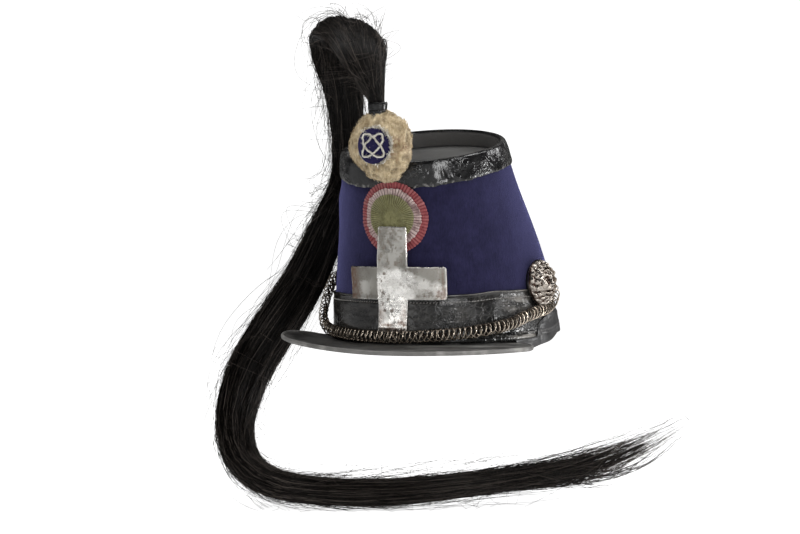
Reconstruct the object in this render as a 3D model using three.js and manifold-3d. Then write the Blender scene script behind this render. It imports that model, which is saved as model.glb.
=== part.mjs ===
// A cavalry kepi: tapered cloth crown, leather bands and peak, a cross plate over a pleated
// cockade, a pompom with a falling horsehair plume, and a ring chain between two lion bosses.
// Units are millimetres. +Z is up, the front faces -Y and the wearer's left is +X.
// The origin is the middle of the head opening, level with the head band's lower edge.
import * as THREE from 'three';
import { mergeVertices } from 'three/addons/utils/BufferGeometryUtils.js';
import Module from 'manifold-3d';

const wasm = await Module();
wasm.setup();

// ---- Driving dimensions -------------------------------------------------------------------
const GAP = 0.3; // clearance between neighbouring pieces
const TURN = Math.PI * 2;
const AROUND = 60; // facets round the crown

// The crown is a leaning tapered oval: upright inside the head band, then drawn in to the top.
const FOOT = { halfWidth: 81.6, halfLength: 101, middle: 0 };
const TOP = { halfWidth: 60.5, halfLength: 66, middle: -44 };
const BAND_HEIGHT = 36; // top edge of the head band
const RIM_HEIGHT = 148.5; // middle of the rim plane
const RIM_RISE = { perX: -0.008, perY: 0.172 }; // the rim plane dips to the front
const CLOTH = 2; // wall thickness of the cloth crown
const CROWN_FOOT = 5; // the cloth ends this far above the band's lower edge
const CROWN_MIDDLE = 92; // a ring of corners halfway up the free part of the crown
const BAND = 1.8; // thickness of the head band's leather
const BAND_ROLL = 1.6; // how far the rolled lower edge of the head band stands out
// How far the top band reaches down the outside, and how much less at the bearing where it is worn.
const TOP_BAND = { drop: 19, lessBy: 7, wornAt: 50 };
const RECESS = 12; // depth of the sunken top below the rim
const DISC = { thick: 1.8, sag: 1.6 }; // the sunken top

const PEAK = { thick: 2.2, tuck: 4, start: -18, end: -165 };
// One row for each section round the peak: bearing in degrees (front is -90), reach beyond the
// head band, and height of the peak's edge against the band's lower edge.
const PEAK_SECTIONS = [
  { bearing: -18, reach: 5, height: -2.5 },
  { bearing: -27, reach: 17, height: -3 },
  { bearing: -40, reach: 30, height: -2.5 },
  { bearing: -60, reach: 43, height: -2.5 },
  { bearing: -90, reach: 50, height: -2 },
  { bearing: -115, reach: 49, height: 2 },
  { bearing: -135, reach: 42, height: 5 },
  { bearing: -150, reach: 29, height: 5.5 },
  { bearing: -165, reach: 7, height: 1 },
];
const PEAK_CURL = 1.4; // above 1 the peak leaves the band level and turns towards its edge
const BEAD = { high: 3.4, wide: 2.6 }; // bead round the peak's edge

const GUARD = { thick: 1.8, level: 22, clear: 2.3, lean: 0.114 };
const GUARD_SECTIONS = [
  { bearing: -17.3, bottom: -6.2, top: 0.5, flare: 0 },
  { bearing: -11, bottom: -4.8, top: 2.5, flare: 0 },
  { bearing: -8.5, bottom: -4.2, top: 14, flare: 0 },
  { bearing: 3, bottom: -0.8, top: 19, flare: 0 },
  { bearing: 10, bottom: 2.5, top: 21, flare: 0 },
  { bearing: 22, bottom: 3.5, top: 22, flare: 0.5 },
  { bearing: 90, bottom: 1, top: 22, flare: 4 },
  { bearing: 150, bottom: 3.5, top: 22, flare: 0.5 },
  { bearing: 175, bottom: -1.5, top: 19, flare: 0 },
  { bearing: 192, bottom: -3.5, top: 8.5, flare: 0 },
];

const CROSS = {
  span: 82, low: 9.5, high: 87.5, armLow: 32.4, armHigh: 25, thick: 1.2,
  offBand: 0.2, // space behind the plate, over the clearance
  askew: 0.036, // sideways lean of the upright, for each millimetre of height
  overRoll: { out: 1.3, from: 6, to: 12 }, // its foot rides over the band's roll
  overCockade: { from: 34, to: 66 }, // where it leans out to pass over the cockade
};
CROSS.armWide = (CROSS.span * 2) / 7;
const COCKADE = { x: 1.6, z: 94, thick: 1.2, apart: 0.5, pleat: 0.35, pleats: 20, overBand: 2.3, rise: 18 };
const COCKADE_LAYERS = [
  { name: 'cockade_red', radius: 27, colour: 0x8f2f3a },
  { name: 'cockade_white', radius: 22, colour: 0xd8d0c8 },
  { name: 'cockade_green', radius: 17.5, colour: 0x6c6a3a },
];

const POMPOM = { radius: 26, deep: 13.5, x: 0.2, y: -124.7, z: 147.3 };
const PATCH = { radius: 14, thick: 1 };
const SOCKET = { x: -2.6, y: -125.6, low: 168, high: 180, foot: 6.4, outer: 7.5, wall: 1.4 };
const STEM = { radius: 1.5, low: 124 };
const CORD = { braid: 1.2, knot: 0.9, loop: 7.9, long: 1.35, short: 0.62 }; // silver cord round the patch

// One row for each section of the plume along its fall: place, width across, thickness, and how
// far the short hair of its right edge sags below the middle of the fold.
const PLUME_SECTIONS = [
  { x: -2.6, y: -125.6, z: 170.5, wide: 9.4, thick: 9.4, sag: 0 },
  { x: -2.8, y: -125.8, z: 180, wide: 9.6, thick: 9.6, sag: 0 },
  { x: -6.4, y: -126.4, z: 191, wide: 18, thick: 12, sag: 0 },
  { x: -13, y: -125, z: 208, wide: 29, thick: 14, sag: 2 },
  { x: -25, y: -111, z: 226, wide: 40, thick: 15, sag: 8 },
  { x: -42, y: -88, z: 236, wide: 50, thick: 16, sag: 12 },
  { x: -60, y: -62, z: 234, wide: 50, thick: 16, sag: 12 },
  { x: -73, y: -38, z: 216, wide: 40, thick: 16, sag: 6 },
  { x: -75, y: -25, z: 190, wide: 27, thick: 15, sag: 0 },
  { x: -76, y: -17, z: 160, wide: 23, thick: 14, sag: 0 },
  { x: -79, y: -11, z: 125, wide: 23, thick: 14, sag: 0 },
  { x: -86, y: -11, z: 104, wide: 25, thick: 15, sag: 0 },
  { x: -96, y: -12, z: 82, wide: 28, thick: 18, sag: 0 },
  { x: -113, y: -17, z: 43, wide: 32, thick: 21, sag: 0 },
  { x: -137, y: -30, z: 0, wide: 35, thick: 21, sag: 0 },
  { x: -150, y: -46, z: -32, wide: 34, thick: 21, sag: 0 },
  { x: -153, y: -63, z: -68, wide: 29, thick: 20, sag: 0 },
  { x: -142, y: -73, z: -96, wide: 27, thick: 20, sag: 0 },
  { x: -117, y: -75, z: -113, wide: 24, thick: 19, sag: 0 },
  { x: -80, y: -64, z: -119, wide: 22, thick: 18, sag: 0 },
  { x: -34, y: -40, z: -121, wide: 22, thick: 18, sag: 0 },
  { x: 14, y: -9, z: -117, wide: 20, thick: 16, sag: 0 },
  { x: 52, y: 22, z: -112, wide: 18, thick: 14, sag: 0 },
  { x: 84, y: 51, z: -107, wide: 16, thick: 12, sag: 0 },
  { x: 110, y: 81, z: -100, wide: 13, thick: 10, sag: 0 },
  { x: 135, y: 110, z: -88, wide: 9, thick: 7, sag: 0 },
  { x: 159, y: 136, z: -73, wide: 3, thick: 3, sag: 0 },
];
const LEFT_LIFT = 1.2; // the long hair of the left half stands up by this share of the sag
const PLUMB = new THREE.Vector3(0, 0, -1);
const PLUME_FOLD_AXIS = new THREE.Vector3(0.8, 0.6, 0); // the hair folds over about this line

const BOSS = { radius: 16, base: 2.4, right: 172, left: -7.5, z: 43.5, lean: 6, clear: 5.2, pad: 1.8 };
// The lion mask's soft forms: place across, up and out from the pad, and half sizes.
const LION = [
  { x: 0, up: 0.6, out: 5, wide: 8, tall: 9.4, deep: 4.6, facets: 12 }, // face
  { x: 0, up: -3.8, out: 8.6, wide: 4.6, tall: 3.8, deep: 3.2, facets: 8 }, // muzzle
  { x: 0, up: 0.4, out: 8.6, wide: 1.9, tall: 4.6, deep: 2.4, facets: 6 }, // nose
  { x: -3.6, up: 3.2, out: 8.2, wide: 2.3, tall: 1.3, deep: 1.6, facets: 6 }, // brows
  { x: 3.6, up: 3.2, out: 8.2, wide: 2.3, tall: 1.3, deep: 1.6, facets: 6 },
];
const MANE = { curls: 12, wave: 0.9 };
const RING = { radius: 4.5, pitch: 4.2, half: 2.6, slant: 0.35, waist: 0.72 };
// One row for each point of the chain: bearing, height and distance out from the cloth.
const CHAIN_ROUTE = [
  { bearing: 8, height: 42, out: 6.8 },
  { bearing: 7.6, height: 33, out: 7 },
  { bearing: 4, height: 26.4, out: 7.2 },
  { bearing: -3, height: 23, out: 6.9 },
  { bearing: -9, height: 22, out: 6.6 },
  { bearing: -15, height: 20.4, out: 6.2 },
  { bearing: -22, height: 17, out: 5.8 },
  { bearing: -30, height: 12.6, out: 5.6 },
  { bearing: -42, height: 11, out: 5.6 },
  { bearing: -58, height: 8.2, out: 5.8 },
  { bearing: -85, height: 5.2, out: 7 },
  { bearing: -107, height: 5.2, out: 7 },
  { bearing: -124, height: 6.4, out: 7 },
  { bearing: -137, height: 8.5, out: 8.6 },
  { bearing: -150, height: 17, out: 9.6 },
  { bearing: -158, height: 29, out: 8 },
  { bearing: -165, height: 40, out: 6.6 },
  { bearing: -173, height: 47, out: 6.2 },
];
const CHAIN_PIECES = 5;

// ---- Materials ------------------------------------------------------------------------------
const paint = (color, roughness, metalness = 0) =>
  new THREE.MeshStandardMaterial({ color, roughness, metalness });
const LOOK = {
  cloth: () => paint(0x2a2759, 0.9),
  leather: () => paint(0x1b1a1b, 0.45),
  silver: () => paint(0xb9b6b0, 0.35, 0.9),
  oldSteel: () => paint(0x6b5c4a, 0.4, 0.9),
  wool: () => paint(0xcbb994, 0.95),
  hair: () => paint(0x0d0c0d, 0.55),
};

// ---- Working with solids --------------------------------------------------------------------
const radians = THREE.MathUtils.degToRad;
const mix = THREE.MathUtils.lerp;

// A geometry with shared corners only, each corner moved by place(), its faces pointing out.
function reshape(geometry, place = (corner) => corner) {
  const bare = new THREE.BufferGeometry();
  bare.setAttribute('position', geometry.attributes.position.clone());
  bare.setIndex(geometry.index ? geometry.index.clone() : null);
  const joined = mergeVertices(bare, 1e-4);
  const corner = new THREE.Vector3();
  const spots = joined.attributes.position;
  for (let i = 0; i < spots.count; i += 1) {
    corner.fromBufferAttribute(spots, i);
    spots.setXYZ(i, ...place(corner.clone()).toArray());
  }
  return faceOutwards(mergeVertices(joined, 1e-4));
}

function faceOutwards(geometry) {
  const spots = geometry.attributes.position;
  const [a, b, c] = [new THREE.Vector3(), new THREE.Vector3(), new THREE.Vector3()];
  const faces = [];
  let volume = 0;
  for (let i = 0; i < geometry.index.count; i += 3) {
    const face = [0, 1, 2].map((k) => geometry.index.getX(i + k));
    if (new Set(face).size < 3) continue;
    [a, b, c].forEach((corner, k) => corner.fromBufferAttribute(spots, face[k]));
    volume += a.dot(b.cross(c));
    faces.push(face);
  }
  geometry.setIndex((volume < 0 ? faces.map((face) => face.reverse()) : faces).flat());
  return geometry;
}

function solid(geometry) {
  const ready = reshape(geometry);
  return new wasm.Manifold(new wasm.Mesh({
    numProp: 3,
    vertProperties: new Float32Array(ready.attributes.position.array),
    triVerts: new Uint32Array(ready.index.array),
  }));
}

function geometryOf(manifold) {
  const mesh = manifold.getMesh();
  const geometry = new THREE.BufferGeometry();
  geometry.setAttribute('position', new THREE.BufferAttribute(mesh.vertProperties, 3));
  geometry.setIndex(new THREE.BufferAttribute(mesh.triVerts, 1));
  return geometry;
}

const joinAll = (geometries) =>
  geometryOf(geometries.map(solid).reduce((whole, next) => whole.add(next)));

function piece(name, geometry, material) {
  const mesh = new THREE.Mesh(geometry, material);
  mesh.name = name;
  return mesh;
}

// A closed profile of [x, y] pairs turned round the Y axis.
function turned(profile, facets = AROUND) {
  return new THREE.LatheGeometry(profile.map(([x, y]) => new THREE.Vector2(x, y)), facets);
}

// A value of a table's column part of the way between two of its rows.
function between(rows, key, column, at) {
  const rising = rows[0][key] < rows[rows.length - 1][key];
  const past = (row) => (rising ? row[key] > at : row[key] < at);
  const next = Math.max(1, rows.findIndex(past) === -1 ? rows.length - 1 : rows.findIndex(past));
  const [from, to] = [rows[next - 1], rows[next]];
  const share = THREE.MathUtils.clamp((at - from[key]) / (to[key] - from[key]), 0, 1);
  return mix(from[column], to[column], share);
}

// ---- The crown's surface ----------------------------------------------------------------------
function rimHeight(bearing) {
  const x = TOP.halfWidth * Math.cos(bearing);
  const y = TOP.halfLength * Math.sin(bearing);
  return RIM_HEIGHT + RIM_RISE.perX * x + RIM_RISE.perY * y;
}

// The point at a bearing and height, the given distance out from the cloth.
function wallPoint(bearing, height, out) {
  const rise = (height - BAND_HEIGHT) / (rimHeight(bearing) - BAND_HEIGHT);
  const share = Math.max(rise, 0);
  const halfWidth = mix(FOOT.halfWidth, TOP.halfWidth, share);
  const halfLength = mix(FOOT.halfLength, TOP.halfLength, share);
  const facing = new THREE.Vector2(Math.cos(bearing) / halfWidth, Math.sin(bearing) / halfLength);
  facing.normalize();
  return new THREE.Vector3(
    halfWidth * Math.cos(bearing) + facing.x * out,
    mix(FOOT.middle, TOP.middle, share) + halfLength * Math.sin(bearing) + facing.y * out,
    height,
  );
}

// A profile of [distance out, height] wrapped round the wall. A lathe needs a positive radius,
// so the profile is turned at HUB and the hub is taken off again on the wall.
const HUB = 100;
function wrapped(profile, heightAt) {
  const atHub = profile.map(([out, height]) => [HUB + out, height]);
  return reshape(turned(atHub), (corner) => {
    const bearing = Math.atan2(corner.x, corner.z);
    const out = Math.hypot(corner.x, corner.z) - HUB;
    return wallPoint(bearing, heightAt(bearing, corner.y), out);
  });
}
const aboveFoot = (bearing, height) => height;
const fromRim = (bearing, height) => rimHeight(bearing) + height;
// Heights of a level crown, stretched above the head band to meet the sloping rim.
const stretched = (bearing, height) => (height <= BAND_HEIGHT ? height
  : mix(BAND_HEIGHT, rimHeight(bearing), (height - BAND_HEIGHT) / (RIM_HEIGHT - BAND_HEIGHT)));

// The cloth's upright foot, inside the head band, and the tapered crown that stands on it.
function crown() {
  const wall = (low, middle, high) => [
    [0, low], [0, middle], [0, high],
    [-CLOTH, high], [-CLOTH, middle], [-CLOTH, low], [0, low],
  ];
  const foot = wall(CROWN_FOOT, (CROWN_FOOT + BAND_HEIGHT) / 2, BAND_HEIGHT - GAP);
  const body = wall(BAND_HEIGHT, CROWN_MIDDLE, RIM_HEIGHT - GAP * 2);
  return [
    piece('crown_foot', wrapped(foot, aboveFoot), LOOK.cloth()),
    piece('crown', wrapped(body, stretched), LOOK.cloth()),
  ];
}

function headBand() {
  const profile = [
    [GAP, 0], [BAND, 0], [BAND + BAND_ROLL, 2.4], [BAND + BAND_ROLL / 4, 7], [BAND + GAP, 12],
    [BAND + GAP, BAND_HEIGHT], [GAP, BAND_HEIGHT], [GAP, 0],
  ];
  return piece('head_band', wrapped(profile, aboveFoot), LOOK.leather());
}

// The rim rolls over the cloth's top edge and turns down inside as far as the sunken top.
function topBand() {
  const inside = -CLOTH - GAP;
  const low = GAP * 3 - RECESS;
  const profile = [
    [GAP, -TOP_BAND.drop], [2, -TOP_BAND.drop], [2.4, -5], [2.2, -0.8], [0.9, 1.5], [-1.2, 2.2],
    [-3.2, 1.3], [-4.1, -1.5], [-4.1, low], [inside, low],
    [inside, -GAP], [GAP, -GAP], [GAP, -TOP_BAND.drop],
  ];
  const worn = (bearing, level) => {
    const nearness = Math.max(0, Math.cos(bearing - radians(TOP_BAND.wornAt)));
    const isLowerEdge = level === -TOP_BAND.drop;
    return fromRim(bearing, level) + (isLowerEdge ? TOP_BAND.lessBy * nearness ** 2 : 0);
  };
  return piece('top_band', wrapped(profile, worn), LOOK.leather());
}

function topDisc() {
  const { thick, sag } = DISC;
  const reach = -CLOTH - GAP;
  const profile = [[0, 0], [0.5, 0], [1, 0], [1, -thick], [0.5, -thick], [0, -thick]];
  const place = (corner) => {
    const bearing = Math.atan2(corner.x, corner.z);
    const share = Math.hypot(corner.x, corner.z);
    const height = corner.y - RECESS - sag * (1 - share * share);
    const edge = wallPoint(bearing, rimHeight(bearing) + height, reach);
    const middle = new THREE.Vector3(0, TOP.middle, RIM_HEIGHT + height);
    return middle.lerp(edge, share);
  };
  return piece('top_disc', reshape(turned(profile, AROUND), place), LOOK.leather());
}

// ---- Peak and neck guard ----------------------------------------------------------------------
// The peak's middle surface at a share of its reach, from the band's underside to its edge.
function peakPoint(bearingDegrees, share) {
  const bearing = radians(bearingDegrees);
  const reach = between(PEAK_SECTIONS, 'bearing', 'reach', bearingDegrees);
  const edge = between(PEAK_SECTIONS, 'bearing', 'height', bearingDegrees);
  const point = wallPoint(bearing, 0, mix(BAND - PEAK.tuck, BAND + reach, share));
  point.z = mix(0, edge, share ** PEAK_CURL) - GAP * 2 - PEAK.thick / 2;
  return point;
}

function peak() {
  const sheet = new THREE.BoxGeometry(1, 1, 1, 40, 3, 1);
  const place = (corner) => {
    const bearing = mix(PEAK.start, PEAK.end, corner.x + 0.5);
    const point = peakPoint(bearing, corner.y + 0.5);
    point.z += corner.z * PEAK.thick;
    return point;
  };
  return piece('peak', reshape(sheet, place), LOOK.leather());
}

// A bead with rounded sides, just beyond the peak's cut edge.
function peakBinding() {
  const bead = new THREE.CylinderGeometry(1, 1, 1, 6, 40);
  const place = (corner) => {
    const bearing = mix(PEAK.start, PEAK.end, corner.y + 0.5);
    const edge = peakPoint(bearing, 1);
    const inner = peakPoint(bearing, 0.6);
    const outward = new THREE.Vector3(edge.x - inner.x, edge.y - inner.y, 0).normalize();
    edge.addScaledVector(outward, BEAD.wide / 2 + GAP * 1.5 + corner.x * BEAD.wide / 2);
    edge.z += (corner.z * BEAD.high) / 2;
    return edge;
  };
  return piece('peak_binding', reshape(bead, place), LOOK.leather());
}

function neckGuard() {
  const sheet = new THREE.BoxGeometry(1, 1, 1, 84, 3, 1);
  const first = GUARD_SECTIONS[0].bearing;
  const last = GUARD_SECTIONS[GUARD_SECTIONS.length - 1].bearing;
  const place = (corner) => {
    const bearing = mix(first, last, corner.x + 0.5);
    const drop = 0.5 - corner.y;
    const bottom = between(GUARD_SECTIONS, 'bearing', 'bottom', bearing);
    const top = between(GUARD_SECTIONS, 'bearing', 'top', bearing);
    const flare = between(GUARD_SECTIONS, 'bearing', 'flare', bearing);
    const height = mix(top, bottom, drop);
    const clear = GUARD.clear + GUARD.lean * (GUARD.level - height);
    const out = clear + flare * drop * drop + GUARD.thick * (corner.z + 0.5);
    return wallPoint(radians(bearing), height, out);
  };
  return piece('neck_guard', reshape(sheet, place), LOOK.leather());
}

// ---- Front ornaments ----------------------------------------------------------------------------
// A flat drawing wrapped on the front: x runs round the wall from the middle, z is the height.
function frontPoint(x, z, out) {
  const steps = 24;
  const start = -Math.PI / 2;
  const stride = x / steps;
  let bearing = start;
  for (let i = 0; i < steps; i += 1) {
    const here = wallPoint(bearing, z, out);
    const there = wallPoint(bearing + 0.001, z, out);
    bearing += (stride * 0.001) / Math.hypot(there.x - here.x, there.y - here.y);
  }
  return wallPoint(bearing, z, out);
}

// The plate lies on the head band, and its upper arm steps out over the cockade.
function crossPlate() {
  const { smoothstep } = THREE.MathUtils;
  const { overRoll, overCockade } = CROSS;
  const low = BAND + GAP * 2 + CROSS.offBand;
  const step = COCKADE_LAYERS.length * (COCKADE.thick + COCKADE.apart) + GAP * 2;
  const outAt = (z) => mix(low, step, smoothstep(z, overCockade.from, overCockade.to));
  const middle = (CROSS.low + CROSS.high) / 2;
  const tall = CROSS.high - CROSS.low;
  const onFront = (corner) => {
    const out = outAt(corner.z) + corner.y;
    const clearOfRoll = overRoll.out * (1 - smoothstep(corner.z, overRoll.from, overRoll.to));
    const shift = (corner.z - CROSS.low) * CROSS.askew;
    return frontPoint(corner.x + shift, corner.z, out + clearOfRoll);
  };
  const sheet = new THREE.BoxGeometry(CROSS.span, CROSS.thick, tall, 14, 1, 12);
  sheet.translate(0, CROSS.thick / 2, middle);
  const plate = solid(reshape(sheet, onFront));
  const cornerCut = (side, from, to) => {
    const wide = (CROSS.span - CROSS.armWide) / 2;
    const cut = new THREE.BoxGeometry(wide + 2, CROSS.thick * 4, to - from, 6, 1, 4);
    cut.translate(side * (CROSS.armWide / 2 + wide / 2 + 1), CROSS.thick / 2, (from + to) / 2);
    return solid(reshape(cut, onFront));
  };
  const armTop = CROSS.armLow + CROSS.armHigh;
  const shaped = [-1, 1].reduce((whole, side) => whole
    .subtract(cornerCut(side, armTop, CROSS.high + 2))
    .subtract(cornerCut(side, CROSS.low - 2, CROSS.armLow)), plate);
  return piece('cross_plate', geometryOf(shaped), LOOK.silver());
}

// Three pleated discs, one on another, that follow the crown's curve.
function cockade() {
  const facets = COCKADE.pleats * 2;
  return COCKADE_LAYERS.map(({ name, radius, colour }, layer) => {
    const floor = GAP * 2 + layer * (COCKADE.thick + COCKADE.apart);
    const half = radius / 2;
    const profile = [
      [0, 0], [half, 0], [radius, 0], [radius, COCKADE.thick], [half, COCKADE.thick],
      [0, COCKADE.thick],
    ];
    const place = (corner) => {
      const angle = Math.atan2(corner.x, corner.z);
      const fold = Math.round((angle / TURN) * facets) % 2 === 0 ? 0 : COCKADE.pleat;
      const share = Math.hypot(corner.x, corner.z) / radius;
      const raised = corner.y > 0 ? corner.y - fold * share : 0;
      const trim = 1 - (fold * share) / radius;
      const height = COCKADE.z + corner.z * trim;
      const climb = THREE.MathUtils.smoothstep(height, COCKADE.z, COCKADE.z + COCKADE.rise);
      const overBand = COCKADE.overBand * climb;
      return frontPoint(COCKADE.x + corner.x * trim, height, floor + raised + overBand);
    };
    return piece(name, reshape(turned(profile, facets), place), paint(colour, 0.85));
  });
}

// ---- Pompom and plume ---------------------------------------------------------------------------
// Distance of the pompom's front face from its middle, at a distance from its own axis.
const pompomFront = (across) =>
  POMPOM.deep * Math.sqrt(Math.max(0, 1 - (across / POMPOM.radius) ** 2));

function pompomBall() {
  const ball = new THREE.SphereGeometry(POMPOM.radius, 24, 14);
  ball.scale(1, POMPOM.deep / POMPOM.radius, 1);
  ball.translate(POMPOM.x, POMPOM.y, POMPOM.z);
  const bore = (radius, low, high) => {
    const drill = new THREE.CylinderGeometry(radius, radius, high - low, 16);
    drill.rotateX(Math.PI / 2);
    drill.translate(SOCKET.x, SOCKET.y, (low + high) / 2);
    return solid(drill);
  };
  const seat = bore(SOCKET.outer + GAP, SOCKET.low - GAP, SOCKET.high + SOCKET.outer);
  const hole = bore(STEM.radius + GAP, STEM.low - SOCKET.outer, SOCKET.low);
  const bored = solid(ball).subtract(seat).subtract(hole);
  return piece('pompom_ball', geometryOf(bored), LOOK.wool());
}

// A round cloth patch that follows the front of the pompom.
function pompomPatch() {
  const cap = turned([
    [0, 0], [PATCH.radius * 0.6, 0], [PATCH.radius, 0],
    [PATCH.radius, PATCH.thick], [PATCH.radius * 0.6, PATCH.thick], [0, PATCH.thick],
  ], 28);
  return piece('pompom_patch', reshape(cap, (corner) => onPompom(corner, 0)), paint(0x232152, 0.9));
}

// A corner of a flat ornament (x and z across, y up from the surface) laid on the pompom.
function onPompom(corner, lift) {
  const across = Math.hypot(corner.x, corner.z);
  const out = pompomFront(across) + GAP * 2 + lift + corner.y;
  return new THREE.Vector3(POMPOM.x + corner.x, POMPOM.y - out, POMPOM.z + corner.z);
}

function pompomBraid() {
  const across = PATCH.radius + GAP * 1.5 + CORD.braid;
  const ring = new THREE.TorusGeometry(across, CORD.braid, 6, 32);
  ring.rotateX(Math.PI / 2);
  const lift = CORD.braid - GAP;
  return piece('pompom_braid', reshape(ring, (corner) => onPompom(corner, lift)), LOOK.silver());
}

// Two crossed oval loops of silver cord.
function pompomKnot() {
  const loop = (turn) => {
    const ring = new THREE.TorusGeometry(CORD.loop, CORD.knot, 5, 20);
    ring.scale(CORD.long, CORD.short, 1);
    ring.rotateZ(turn);
    ring.rotateX(Math.PI / 2);
    return reshape(ring, (corner) => onPompom(corner, PATCH.thick + CORD.knot + GAP));
  };
  return piece('pompom_knot', joinAll([loop(Math.PI / 4), loop(-Math.PI / 4)]), LOOK.silver());
}

function plumeStem() {
  const high = SOCKET.low - GAP;
  const pin = new THREE.CylinderGeometry(STEM.radius, STEM.radius, high - STEM.low, 10);
  const mesh = piece('plume_stem', pin, LOOK.oldSteel());
  mesh.rotation.x = Math.PI / 2;
  mesh.position.set(SOCKET.x, SOCKET.y, (STEM.low + high) / 2);
  return mesh;
}

function plumeSocket() {
  const tall = SOCKET.high - SOCKET.low;
  const { foot, outer, wall } = SOCKET;
  const cup = turned([
    [0, 0], [foot - 0.8, 0], [foot, 0.8], [outer, tall - 1], [outer - 0.5, tall],
    [outer - wall, tall], [foot - wall, wall], [0, wall],
  ], 20);
  const mesh = piece('plume_socket', cup, LOOK.leather());
  mesh.rotation.x = Math.PI / 2;
  mesh.position.set(SOCKET.x, SOCKET.y, SOCKET.low);
  return mesh;
}

// The stations of a swept form: its middle line, and an across direction carried along it
// without twist from the given start.
function stations(curve, count, startAcross) {
  const across = startAcross.clone();
  return Array.from({ length: count + 1 }, (_, i) => {
    const middle = curve.getPoint(i / count);
    const along = curve.getTangent(i / count);
    across.addScaledVector(along, -across.dot(along)).normalize();
    const up = new THREE.Vector3().crossVectors(across, along).normalize();
    return { middle, along, across: across.clone(), up };
  });
}

function plume() {
  const points = PLUME_SECTIONS.map(({ x, y, z }) => new THREE.Vector3(x, y, z));
  const curve = new THREE.CatmullRomCurve3(points);
  const perSection = 2;
  const count = (PLUME_SECTIONS.length - 1) * perSection;
  const frames = stations(curve, count, PLUME_FOLD_AXIS);
  const form = new THREE.CylinderGeometry(0.5, 0.5, count, 14, count);
  const numbered = PLUME_SECTIONS.map((section, index) => ({ ...section, index }));
  const place = (corner) => {
    const at = THREE.MathUtils.clamp(Math.round(count / 2 - corner.y), 0, count);
    const { middle, across, up } = frames[at];
    const wide = between(numbered, 'index', 'wide', at / perSection);
    const thick = between(numbered, 'index', 'thick', at / perSection);
    const sag = between(numbered, 'index', 'sag', at / perSection);
    const side = corner.x * 2;
    const drop = side > 0 ? side * side : LEFT_LIFT * side * (1 + side);
    return middle.clone()
      .addScaledVector(across, corner.x * wide)
      .addScaledVector(up, corner.z * thick)
      .addScaledVector(PLUMB, sag * drop);
  };
  return piece('plume', reshape(form, place), LOOK.hair());
}

// ---- Bosses and chain -----------------------------------------------------------------------------
// A lion mask: a dished round base, a mane with curls, a face, a muzzle, a nose and two brows.
function lionMask() {
  const mane = turned([
    [0, 0], [BOSS.radius, 0], [BOSS.radius, BOSS.base], [12.8, 5.4], [9.4, 4.6], [0, 5],
  ], MANE.curls * 3);
  const curled = reshape(mane, (corner) => {
    const angle = Math.atan2(corner.x, corner.z);
    const rim = corner.y > BOSS.base + 0.5 || Math.hypot(corner.x, corner.z) > 15;
    const wave = rim && corner.y > 0 ? 0.35 + 0.65 * Math.cos(angle * MANE.curls) : 0;
    return new THREE.Vector3(corner.x, corner.y + wave * MANE.wave, corner.z);
  });
  const ball = ({ x, up, out, wide, tall, deep, facets }) => {
    const form = new THREE.SphereGeometry(1, facets, Math.ceil(facets * 0.6));
    form.scale(wide, deep, tall);
    form.translate(x, out, up);
    return form;
  };
  return joinAll([curled, ...LION.map(ball)]);
}

// Stands a drawn-flat piece (its back at y = 0, its front towards +Y) on the side of the kepi.
function onSide(mesh, bearingDegrees, out) {
  const bearing = radians(bearingDegrees);
  const spot = wallPoint(bearing, BOSS.z, out);
  const outward = wallPoint(bearing, BOSS.z, out + 1).sub(spot);
  const holder = new THREE.Group();
  holder.position.copy(spot);
  holder.rotation.z = Math.atan2(outward.y, outward.x) - Math.PI / 2;
  mesh.rotation.x = radians(BOSS.lean);
  holder.add(mesh);
  return holder;
}

function bosses() {
  const sides = [
    { name: 'left', bearing: BOSS.left },
    { name: 'right', bearing: BOSS.right },
  ];
  return sides.flatMap(({ name, bearing }) => {
    const pad = turned([
      [0, 0], [BOSS.radius + 1.5, 0], [BOSS.radius + 1.5, BOSS.pad], [0, BOSS.pad],
    ], 28);
    const back = BOSS.clear;
    return [
      onSide(piece(`boss_pad_${name}`, pad, LOOK.leather()), bearing, back - BOSS.pad - GAP),
      onSide(piece(`boss_${name}`, lionMask(), LOOK.silver()), bearing, back),
    ];
  });
}

// The chain: every ring shows as one slanted rib, and neighbouring rings run into each other.
function chain() {
  const route = CHAIN_ROUTE.map(({ bearing, height, out }) =>
    wallPoint(radians(bearing), height, out));
  const curve = new THREE.CatmullRomCurve3(route);
  const rings = Math.round(curve.getLength() / RING.pitch / CHAIN_PIECES) * CHAIN_PIECES;
  const perPiece = rings / CHAIN_PIECES;
  const up = new THREE.Vector3(0, 0, 1);
  const ribbed = (first) => {
    const form = new THREE.CylinderGeometry(1, 1, perPiece * 2, 6, perPiece * 2);
    const length = curve.getLength();
    return reshape(form, (corner) => {
      const step = Math.round(perPiece - corner.y);
      const swell = step % 2 === 0 ? RING.waist : 1;
      const start = GAP / 2 + first * (length / rings);
      const share = (start + (step * (length / rings - GAP / perPiece)) / 2) / length;
      const middle = curve.getPointAt(THREE.MathUtils.clamp(share, 0, 1));
      const along = curve.getTangentAt(THREE.MathUtils.clamp(share, 0, 1));
      const side = new THREE.Vector3().crossVectors(up, along).normalize();
      const tall = new THREE.Vector3().crossVectors(along, side);
      const nearEnd = step === 0 || step === perPiece * 2;
      const lean = nearEnd ? 0 : RING.slant * corner.x * RING.radius;
      return middle
        .addScaledVector(tall, corner.x * RING.radius * swell)
        .addScaledVector(side, corner.z * RING.half * swell)
        .addScaledVector(along, lean);
    });
  };
  return Array.from({ length: CHAIN_PIECES }, (_, i) =>
    piece(`chain_${i + 1}`, ribbed(i * perPiece), LOOK.oldSteel()));
}

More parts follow.
